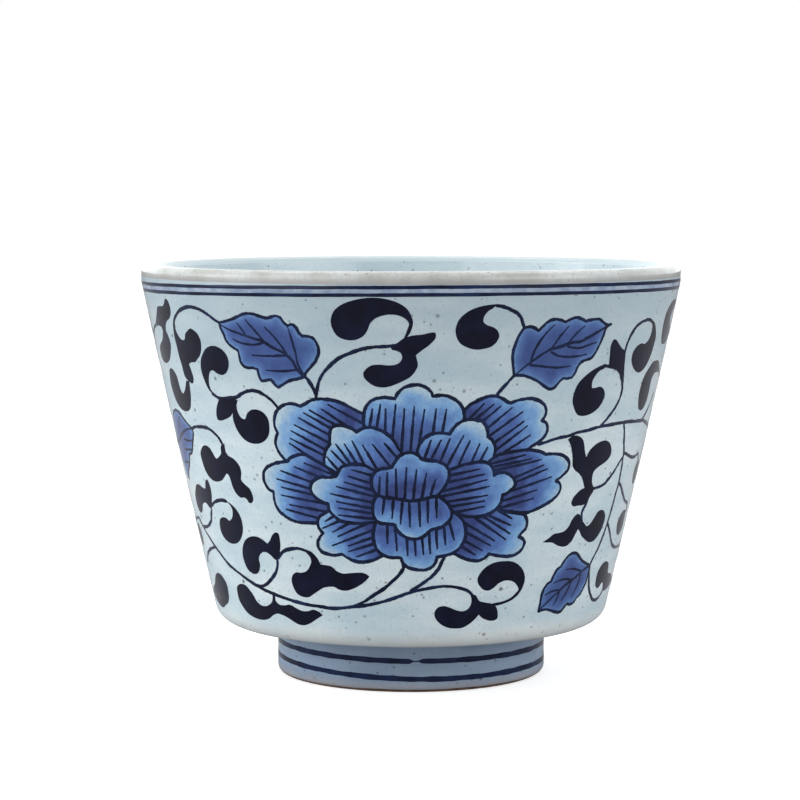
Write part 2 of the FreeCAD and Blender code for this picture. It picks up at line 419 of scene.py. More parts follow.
# Petals from the back of the flower to the front: outline, then the veins from tip to foot
PETALS = [
    (
        [(-10.4, 41.6), (-11, 41.75), (-13, 42.4), (-15.25, 43.1), (-17.25, 43.4), (-19.5, 43.5), (-21.5, 43.35),
         (-23, 42.85), (-24.5, 42.4), CORNER, (-26.5, 42.7), (-28, 42.6), (-29.25, 42.25), (-30.5, 41.6), (-31.25, 40.8),
         (-31.6, 39.8), (-31.5, 39.2), (-31, 38.5), CORNER, (-31.6, 37.8), (-32, 37), (-31.6, 36), (-30.75, 35.2),
         (-29.4, 34.5), CORNER, (-24, 33.5), (-17.5, 32.4), (-13, 35), (-9, 38), (-10.3, 40.1), CORNER],
        [[(-18, 42.75), (-10.75, 40.3)], [(-19.6, 42.1), (-15.25, 40.3)], [(-22.4, 41.9), (-17.75, 40.3)],
         [(-23.9, 41.5), (-18.25, 39.6)], [(-25.2, 40.75), (-18.5, 38.6)], [(-26.4, 39.75), (-18.75, 37.5)],
         [(-27.4, 38.9), (-19.75, 36.5)], [(-27.9, 37.8), (-20.25, 35.7)], [(-28.25, 37.1), (-24.5, 35.7)]],
    ),
    (
        [(11.6, 42), (12.5, 42.7), (14, 43.25), (15.5, 43.7), (17, 43.95), (18.5, 43.9), (20, 43.5), (21.25, 43),
         (21.9, 42.9), CORNER, (23.25, 43.2), (25, 43.4), (26.75, 43.4), (28.5, 43.1), (30, 42.5), (30.75, 41.7),
         (30.6, 40.8), (30, 40.25), CORNER, (31.25, 39.8), (31.75, 39), (31.4, 38.2), (30, 37.3), (28.25, 36.7),
         (27.25, 36.3), CORNER, (24, 35.2), (18, 33.9), (13, 36), (10, 39), (11.6, 40.8), CORNER],
        [[(15.75, 42.9), (13.25, 41.2)], [(18, 42.8), (14.5, 41)], [(19.6, 42.5), (16, 40.6)],
         [(22.25, 42.25), (17, 39.5)], [(24.9, 41.6), (17.5, 38.4)], [(25.4, 40.25), (19.25, 37.6)],
         [(26.4, 39.6), (19, 36.2)], [(27.4, 38.25), (19.5, 35.3)]],
    ),
    (
        [(-10.3, 40.1), (-10.2, 41.3), (-9.6, 42.6), (-8.5, 43.35), (-6.75, 43.8), (-5, 43.85), (-3.4, 43.7), CORNER,
         (-2.9, 44.35), (-1.75, 45.1), (0, 45.55), (1.75, 45.6), (3.25, 45.2), (4.25, 44.6), (4.6, 44.05), CORNER,
         (5.25, 44.1), (6.75, 44.15), (8.5, 43.85), (10, 43.25), (11, 42.5), (11.45, 41.6), (11.6, 40.8), CORNER,
         (3, 35), CORNER, (-3, 35), CORNER],
        [[(-8.25, 42.25), (-8.9, 40.1)], [(-6.5, 42.9), (-7.4, 39.8)], [(-5.4, 42.3), (-5.6, 39.6)],
         [(-3.25, 42.9), (-4, 38.6)], [(-1.4, 42.3), (-2.1, 36.5)], [(0.7, 42.6), (-0.1, 36.3)],
         [(2.9, 42.2), (1.6, 36.5)], [(5.4, 42.3), (4.9, 39.5)], [(7.6, 42.2), (6.9, 39.25)]],
    ),
    (
        [(-20.1, 34), CORNER, (-19.9, 35.2), (-19.4, 36.3), (-18.25, 37.2), CORNER, (-18.2, 38), (-18.05, 38.8),
         (-17.4, 39.6), (-16, 39.9), (-14.5, 39.8), (-13, 39.5), (-11.95, 39), CORNER, (-11, 39.4), (-9.25, 39.7),
         (-7.5, 39.5), (-6, 39.1), (-4.5, 38.4), (-3.5, 37.6), (-2.5, 36.5), (-2, 36.2), CORNER, (-4, 33), (-16, 32.5),
         (-21, 33), CORNER],
        [[(-19.25, 35.4), (-17.75, 34.3)], [(-18.1, 36.3), (-15.5, 34.7)], [(-16.9, 37.25), (-14, 34.7)],
         [(-14.9, 37.3), (-12.5, 34.75)], [(-13.1, 37.75), (-10.75, 34.7)], [(-10.75, 37.2), (-8.5, 34.7)],
         [(-8.5, 37.3), (-4.9, 34.4)], [(-5.9, 37.5), (-3.4, 35.7)]],
    ),
    (
        [(1.4, 36.2), CORNER, (1.75, 37.2), (2.5, 37.9), (3.75, 38.6), (5.5, 38.9), (7.25, 38.9), (8.5, 38.75), CORNER,
         (9.1, 39.4), (10.25, 40.2), (11.5, 40.6), (13, 40.75), (14.5, 40.6), (15.5, 40.5), (16.5, 39.8), (17, 39),
         (17.1, 38.3), CORNER, (18.25, 37.75), (19, 36.9), (19.1, 36), (18.75, 35.2), (18, 34.7), CORNER, (17, 33),
         (4, 33), CORNER],
        [[(4.4, 37.9), (3.1, 35.5)], [(6.6, 37.9), (4.75, 35.5)], [(8.6, 38.1), (6.75, 35.2)],
         [(11.6, 38.5), (8.5, 34.7)], [(13.1, 37.75), (11, 34.7)], [(15.4, 37.3), (13.75, 34.75)],
         [(17.25, 36.75), (15.75, 34.8)]],
    ),
    (
        [(-17.4, 32.7), CORNER, (-20.25, 34.25), (-22.25, 34.9), (-25, 35.6), (-27, 35.4), (-28.75, 34.9),
         (-29.4, 34.5), CORNER, (-31.5, 34.3), (-34, 33.85), (-35.5, 33.4), (-36.5, 32.75), (-36.9, 31.8), (-36.6, 31),
         (-35.75, 30.3), (-34.4, 30), CORNER, (-34.6, 29.2), (-34.5, 28.3), (-33.75, 27.4), (-32.25, 26.7),
         (-30.25, 26.1), (-28, 25.85), (-25.75, 25.85), (-23.5, 25.9), CORNER, (-15, 27.5), (-14, 31), CORNER],
        [[(-21.5, 34.7), (-17.25, 33.2)], [(-25, 34.4), (-17.5, 32.8)], [(-27.75, 33.8), (-20, 32.2)],
         [(-31.6, 33.1), (-24, 31.8)], [(-33, 31.9), (-24.25, 30.8)], [(-32, 30.75), (-24, 30)],
         [(-32.25, 29.6), (-20, 28.7)], [(-30.25, 28.3), (-20.5, 27.6)], [(-31.4, 27.6), (-24, 26.75)]],
    ),
    (
        [(18.25, 35), CORNER, (19.5, 35.5), (22, 35.9), (24.5, 36.1), (27, 36.2), (29.5, 36), (31.25, 35.7),
         (32.25, 35.4), CORNER, (33.75, 35.4), (35.75, 35.3), (37.5, 35), (38.75, 34.5), (39.6, 33.7), (39.5, 33),
         (38.25, 32.25), (36.25, 31.5), CORNER, (37.5, 31.1), (38.05, 30.4), (37.6, 29.6), (36, 28.75), (33.75, 28.1),
         (31.5, 27.6), (30, 27.3), (28, 27.2), (26, 27.3), (24, 27.6), (22, 27.75), (21, 27.7), CORNER, (17, 29), (16, 33), CORNER],
        [[(26.75, 35.5), (19.5, 34.6)], [(28.5, 34.9), (20, 34.1)], [(31.2, 34.7), (20.5, 33.6)],
         [(32, 33.9), (24.9, 32.4)], [(33.2, 33.3), (24.5, 31.6)], [(34.75, 32.1), (25, 30.6)],
         [(31, 30.4), (22.75, 29.2)], [(30.4, 29.2), (22.25, 28.2)]],
    ),
    (
        [(22, 27.7), CORNER, (24, 27.4), (26, 27.25), (27.5, 27.1), (28.75, 26.7), (29.4, 25.8), (29.25, 25),
         (28.25, 24.3), (27.6, 23.75), CORNER, (28.6, 23.5), (29.4, 22.9), (29.1, 22.2), (28, 21.5), (26.25, 21.1),
         (24, 21.1), (21.75, 21.3), (19.75, 21.6), CORNER, (19, 21.1), (17.5, 20.7), (16, 20.67), (14.25, 20.9),
         (12.5, 21.3), (10.75, 21.8), CORNER, (10, 24), (12, 28.5), (21, 29), CORNER],
        [[(25, 26.5), (22, 27.5)], [(24.95, 25.5), (20, 26.8)], [(25, 24.3), (18, 26.8)], [(23.95, 23.5), (15.5, 26.8)],
         [(21, 23.4), (12.5, 26.3)], [(20, 22.75), (13.75, 24.7)], [(17.95, 22.1), (13.5, 23.5)],
         [(16.2, 21.5), (12.75, 22.7)]],
    ),
    (
        [(-20, 27.75), CORNER, (-21.25, 27.3), (-22.5, 26.8), (-23.1, 26), (-22.9, 25.2), (-22, 24.5), CORNER,
         (-23, 23.8), (-23.6, 23.2), (-23.6, 22.5), (-22.75, 21.8), (-21.25, 21.5), (-19.25, 21.4), (-17.5, 21.6),
         CORNER, (-16, 21.1), (-14.5, 20.7), (-12.5, 20.55), (-10.5, 20.7), (-8.5, 21.1), (-7, 21.6), CORNER,
         (-6, 24), (-7, 28), (-19, 29), CORNER],
        [[(-21.1, 26.2), (-18.75, 27)], [(-21.9, 25.2), (-17.25, 26.4)], [(-19.4, 24.7), (-15.25, 26)],
         [(-18.1, 24.1), (-11, 26)], [(-19.75, 22.75), (-8.75, 25.3)], [(-15.6, 22.8), (-9, 24.2)],
         [(-15.6, 22), (-8.75, 23.3)], [(-13.6, 21.3), (-8.5, 22.4)]],
    ),
    (
        [(-8.8, 33.8), CORNER, (-10.5, 34.35), (-12.5, 34.5), (-14.5, 34.35), (-16, 34), (-16.75, 33.3),
         (-17.4, 32.7), CORNER, (-19, 32.5), (-21, 32.5), (-22.75, 32.1), (-23.9, 31.3), (-23.9, 30.3), (-23, 29.6),
         (-21.5, 29), (-19.9, 28.7), CORNER, (-19.75, 27.8), (-18.75, 27.1), (-17.25, 26.4), (-15.25, 26.2),
         (-13, 26.1), (-10.5, 26.2), (-8.5, 26.3), CORNER, (-4, 27), (-4, 33), CORNER],
        [[(-13.6, 33.7), (-8.75, 32.9)], [(-14.5, 32.75), (-9, 31.8)], [(-15.5, 31.9), (-8.5, 30.8)],
         [(-17.5, 31.25), (-8.5, 30)], [(-19.1, 30.2), (-8.75, 29.1)], [(-17.75, 29.1), (-9.5, 28.3)],
         [(-17.4, 28.2), (-9.5, 27.6)], [(-17.5, 27.2), (-9, 26.8)]],
    ),
    (
        [(9, 33.8), CORNER, (10, 34), (11.75, 34.4), (13.75, 34.6), (15, 34.75), (17, 34.7), (18.25, 34.3), (19, 33.7),
         (19.4, 32.8), CORNER, (20.5, 33.1), (22, 33.1), (23.5, 32.7), (24.6, 32), (25, 31.25), (24, 30.6),
         (22.75, 30.1), (21.9, 30), CORNER, (21.75, 29), (21, 28.25), (19.5, 27.5), (17.5, 27.1), (15, 27),
         (13, 27.1), (11.25, 27.5), (10, 27.75), CORNER, (5, 28), (5, 33), CORNER],
        [[(15.7, 33.75), (9.25, 33)], [(17, 33), (9.5, 32.1)], [(17.7, 32.2), (8.5, 30.9)], [(18.5, 31.25), (8, 30.1)],
         [(18.1, 30), (8.5, 29.25)], [(17.5, 29.2), (10, 28.6)], [(17.6, 28.4), (11.5, 27.8)]],
    ),
    (
        [(-8.45, 26.3), CORNER, (-9, 25.3), (-9.25, 24.3), (-9, 23.3), (-8.25, 22.3), (-6.75, 21.6), (-5, 21.3),
         (-3.5, 21.3), (-2.4, 21.25), CORNER, (-2, 20.5), (-0.75, 19.9), (1, 19.6), (3, 19.5), (4.75, 19.75),
         (6.1, 20.5), (6.5, 21.4), CORNER, (8, 21.5), (9.75, 21.75), (11.5, 22.3), (12.75, 23.2), (13.4, 24.3),
         (13.25, 25.3), (12.5, 26.5), (11.5, 27.2), (10.25, 27.7), CORNER, (6, 29), (-6, 29), CORNER],
        [[(-5.75, 23.3), (-5.7, 25.75)], [(-3.45, 22.3), (-3.75, 25.2)], [(-0.8, 21.6), (-1, 23.8)],
         [(1.2, 21.6), (0.9, 23.7)], [(3.1, 21.75), (2.75, 23.75)], [(4.75, 21.9), (4.4, 24.5)],
         [(6.45, 22.6), (6.1, 25)], [(8.5, 23.1), (8, 25.3)], [(10.6, 23.75), (9.4, 25.9)]],
    ),
    (
        [(-8, 30.1), CORNER, (-8.75, 29.3), (-9.05, 28.2), (-8.75, 27), (-7.75, 26.3), (-6.25, 26.15), (-5, 26.1),
         (-3.9, 26), CORNER, (-3.4, 25.3), (-2.25, 24.6), (-0.75, 24.1), (1, 23.95), (2.75, 24.25), (4.1, 24.9),
         CORNER, (5, 25.3), (6.5, 25.5), (8, 25.9), (9.1, 26.5), (9.75, 27.5), (9.4, 28.3), (8.25, 29.2), (7, 29.8),
         (6, 30.1), CORNER, (4, 32), (-6, 32), CORNER],
        [[(-6.75, 27.5), (-6.25, 29.7)], [(-4.5, 26.9), (-4.1, 29.6)], [(-2.5, 26.1), (-2, 29.5)],
         [(-0.25, 25.7), (-0.4, 29.3)], [(2.2, 25.75), (1.9, 29.3)], [(4.05, 26.3), (3.9, 29.7)],
         [(6.1, 27), (5.9, 29.9)]],
    ),
    (
        [(-8.1, 30.3), CORNER, (-9, 31.2), (-9.1, 32), (-8.9, 32.75), (-8, 33.5), (-6.75, 33.9), (-5.25, 34),
         (-4.25, 34.2), CORNER, (-3.5, 35), (-2.5, 35.75), (-1.25, 36.1), (0, 36.2), (1.25, 35.95), (2.5, 35.3),
         (4.25, 35.1), (6.25, 34.9), (7.75, 34.4), (8.6, 33.7), (8.75, 32.7), (8.1, 31.7), (7, 30.7), (6, 30.1),
         CORNER, (4.5, 29.9), (2.5, 29.6), (0, 29.4), (-2.5, 29.6), (-4.5, 29.8), (-6.25, 29.9), (-7.75, 30.2)],
        [[(-7.1, 32.75), (-7.5, 30.3)], [(-5.4, 33.4), (-5.6, 30.2)], [(-3.4, 33.9), (-3.4, 29.7)],
         [(-1, 34.1), (-1.5, 29.5)], [(1.25, 33.8), (0.5, 29.5)], [(3.5, 33.3), (2.5, 29.7)],
         [(5.6, 32.4), (4.6, 30.3)]],
    ),
]

# Leaves: outline, then the midrib and the side veins
LEAVES = [
    (
        [(-42.9, 53.6), CORNER, (-41, 53.85), (-39, 54.2), (-37, 54.7), (-35.25, 55.05), (-33.75, 55.05), (-32, 54.75),
         (-30.25, 54.5), (-29, 54.7), (-28, 54.85), (-27, 54.6), (-26.25, 53.9), (-25.5, 53.55), CORNER,
         (-24.5, 53.7), (-23.6, 53.25), (-23.1, 52.6), (-22.4, 52.15), CORNER, (-21, 52.1), (-20, 51.85),
         (-19.4, 51.2), (-19.1, 50.2), (-19.75, 49), (-21, 48), (-22.25, 47.2), (-22.9, 46.5), CORNER, (-24.5, 46.2),
         (-26.5, 45.9), (-28.25, 45.3), (-29.4, 44.9), CORNER, (-30.1, 45.25), (-31, 45.9), (-32.25, 45.8),
         (-33.5, 45.7), CORNER, (-34, 46.5), (-34.1, 47.3), CORNER, (-35.5, 47.5), (-36.75, 47.45), (-37.9, 47.75),
         (-38.5, 48.3), (-38.6, 49), (-38.75, 49.8), CORNER, (-39.75, 50.1), (-41, 50.6), (-41.75, 51.25),
         (-42.25, 52.2), (-42.9, 53.2)],
        [[(-42.5, 53.25), (-40, 52.6), (-37, 52.1), (-34, 51.6), (-31.75, 51.25), (-29.5, 50.4), (-27, 49.7),
          (-25.25, 48.7), (-24.5, 47.7), (-23, 46.5)],
         [(-38, 53.75), (-36.1, 52.25)], [(-35.6, 54.2), (-33.5, 52.7), (-31.5, 51.3)],
         [(-31, 53.25), (-28.75, 51.8), (-27.25, 50.5), (-26.5, 49.7)],
         [(-25.6, 53.5), (-24.9, 51.7), (-24.4, 50), (-23.9, 48), (-23.1, 47)],
         [(-39.6, 51.4), (-38, 51), (-35.5, 50.75), (-33.25, 50.8), (-31.75, 51.1)],
         [(-35, 49.25), (-30.75, 49.25), (-26.5, 49.4)], [(-32, 47.25), (-28, 47.2), (-24, 47.5)]],
    ),
    (
        [(22, 46.7), CORNER, (21.75, 47.5), (21.4, 48.7), (21.3, 50), (21.75, 51.3), (22.5, 52.5), (23.4, 53.25),
         (24.25, 53.4), (25.5, 53.25), (26.6, 52.8), CORNER, (27.5, 53.4), (28.5, 54), (29.75, 54.3), (31, 54.3),
         (32.75, 53.9), CORNER, (34, 54.25), (35.6, 54.5), (37, 54.2), (38, 53.9), CORNER, (40, 54.1), (41.75, 54.1),
         (43.25, 53.6), (44.75, 53.2), (45.6, 53.3), CORNER, (44.25, 52.8), (43.75, 51.8), (43.1, 50.7),
         (42.25, 49.5), (41.25, 48.75), (40, 48.5), (38.5, 48.25), CORNER, (37.75, 47.7), (37.1, 46.7),
         (36.4, 46.1), CORNER, (35.25, 46), (34, 46), (33, 45.4), (32, 44.75), (31.25, 44.6), (29.75, 45),
         (28, 45.7), (26, 46.3), (24, 46.7)],
        [[(22.25, 46.8), (24.5, 48), (26.5, 48.9), (28.5, 49.7), (30.25, 50.25), (31.5, 50.4), (33.25, 50.7),
          (35, 51), (37.25, 51.1), (40, 51.8), (42.5, 52.5), (44.75, 53.1)],
         [(30.25, 53.6), (28.5, 52.5), (27, 51.2), (26, 49.8), (25.6, 48.7)], [(33.75, 53.3), (31.5, 51.6),
         (30.25, 50.4)], [(38, 53.25), (35.75, 52.1), (34, 50.8)], [(35.6, 47.75), (32.75, 47.6), (29, 47.8),
         (25.5, 48.1)], [(39.6, 49.3), (37, 49.05), (34, 49.05), (31.75, 49.3), (30.25, 49.8)],
         [(42, 50.9), (40, 50.6), (37.25, 50.2), (34.25, 50.5)]],
    ),
    (
        [(37.1, 12.5), CORNER, (37.25, 13.5), (37.4, 14.8), (37.9, 15.8), (39, 16.5), (40, 16.7), CORNER,
         (40.5, 17.5), (41.25, 18.25), (42.75, 18.75), CORNER, (43.75, 19.5), (45, 20.25), (46.5, 20.5), (48, 20.4),
         (49.5, 19.8), (51.25, 19.1), (53.25, 18.6), (55, 18.25), (55.5, 18.1), CORNER, (55.5, 17), (55.4, 15.7),
         (54.5, 14.7), (53.5, 14), (52, 13.6), CORNER, (51, 13), (49.5, 12.8), (48, 12.97), CORNER, (47, 12.5),
         (46, 12), (44, 11.97), (42, 12.3), (40, 12.6), (38.25, 12.6)],
        [[(37.75, 12.9), (40, 13.75), (42, 14.5), (43.5, 15), (45, 15.6), (47, 16.2), (49, 16.6), (51, 17.2),
          (53, 17.75), (55.25, 18.1)],
         [(38.6, 14.75), (40.75, 15.2), (44, 15.2)], [(41, 16.4), (44, 16.75), (46.5, 16.7), (48.25, 16.3)],
         [(45, 18.2), (48, 18.1), (51.25, 17.6)], [(42.25, 13.1), (43.25, 14), (44.1, 15.2)],
         [(45.25, 13.6), (46.75, 14.7), (47.9, 16)], [(49.5, 13.9), (51, 15.3), (51.75, 17)]],
    ),
    (
        [(-62, 37.75), CORNER, (-63.5, 38.2), (-65.5, 38.8), (-67.5, 39.5), (-69.5, 39.9), (-71.5, 40), (-73.5, 39.75),
         (-75.5, 39.2), (-77.5, 38), (-79, 36.4), (-80, 34.6), CORNER, (-78.5, 33), (-76.5, 31.5), (-75.2, 30.2),
         (-73.75, 29.8), CORNER, (-72.75, 30.8), (-71.25, 31.5), (-69.75, 32.2), (-68.75, 33), (-68, 33.7), CORNER,
         (-66, 34), (-64.5, 34.7), (-63.5, 35.7), (-62.5, 36.5), (-61.75, 37.3)],
        [[(-62, 37.75), (-64.5, 37.6), (-67, 37.25), (-69.5, 36.75), (-72, 36.2), (-76, 35.3), (-80, 34.6)],
         [(-63.5, 36), (-66, 35.8), (-69.5, 35.9)], [(-64, 34.7), (-67.5, 34.4), (-70.75, 34.3)],
         [(-70, 32.4), (-72.5, 32.3), (-74.5, 32.25)], [(-69, 39.2), (-71, 38.2), (-74.5, 36.2)]],
    ),
]

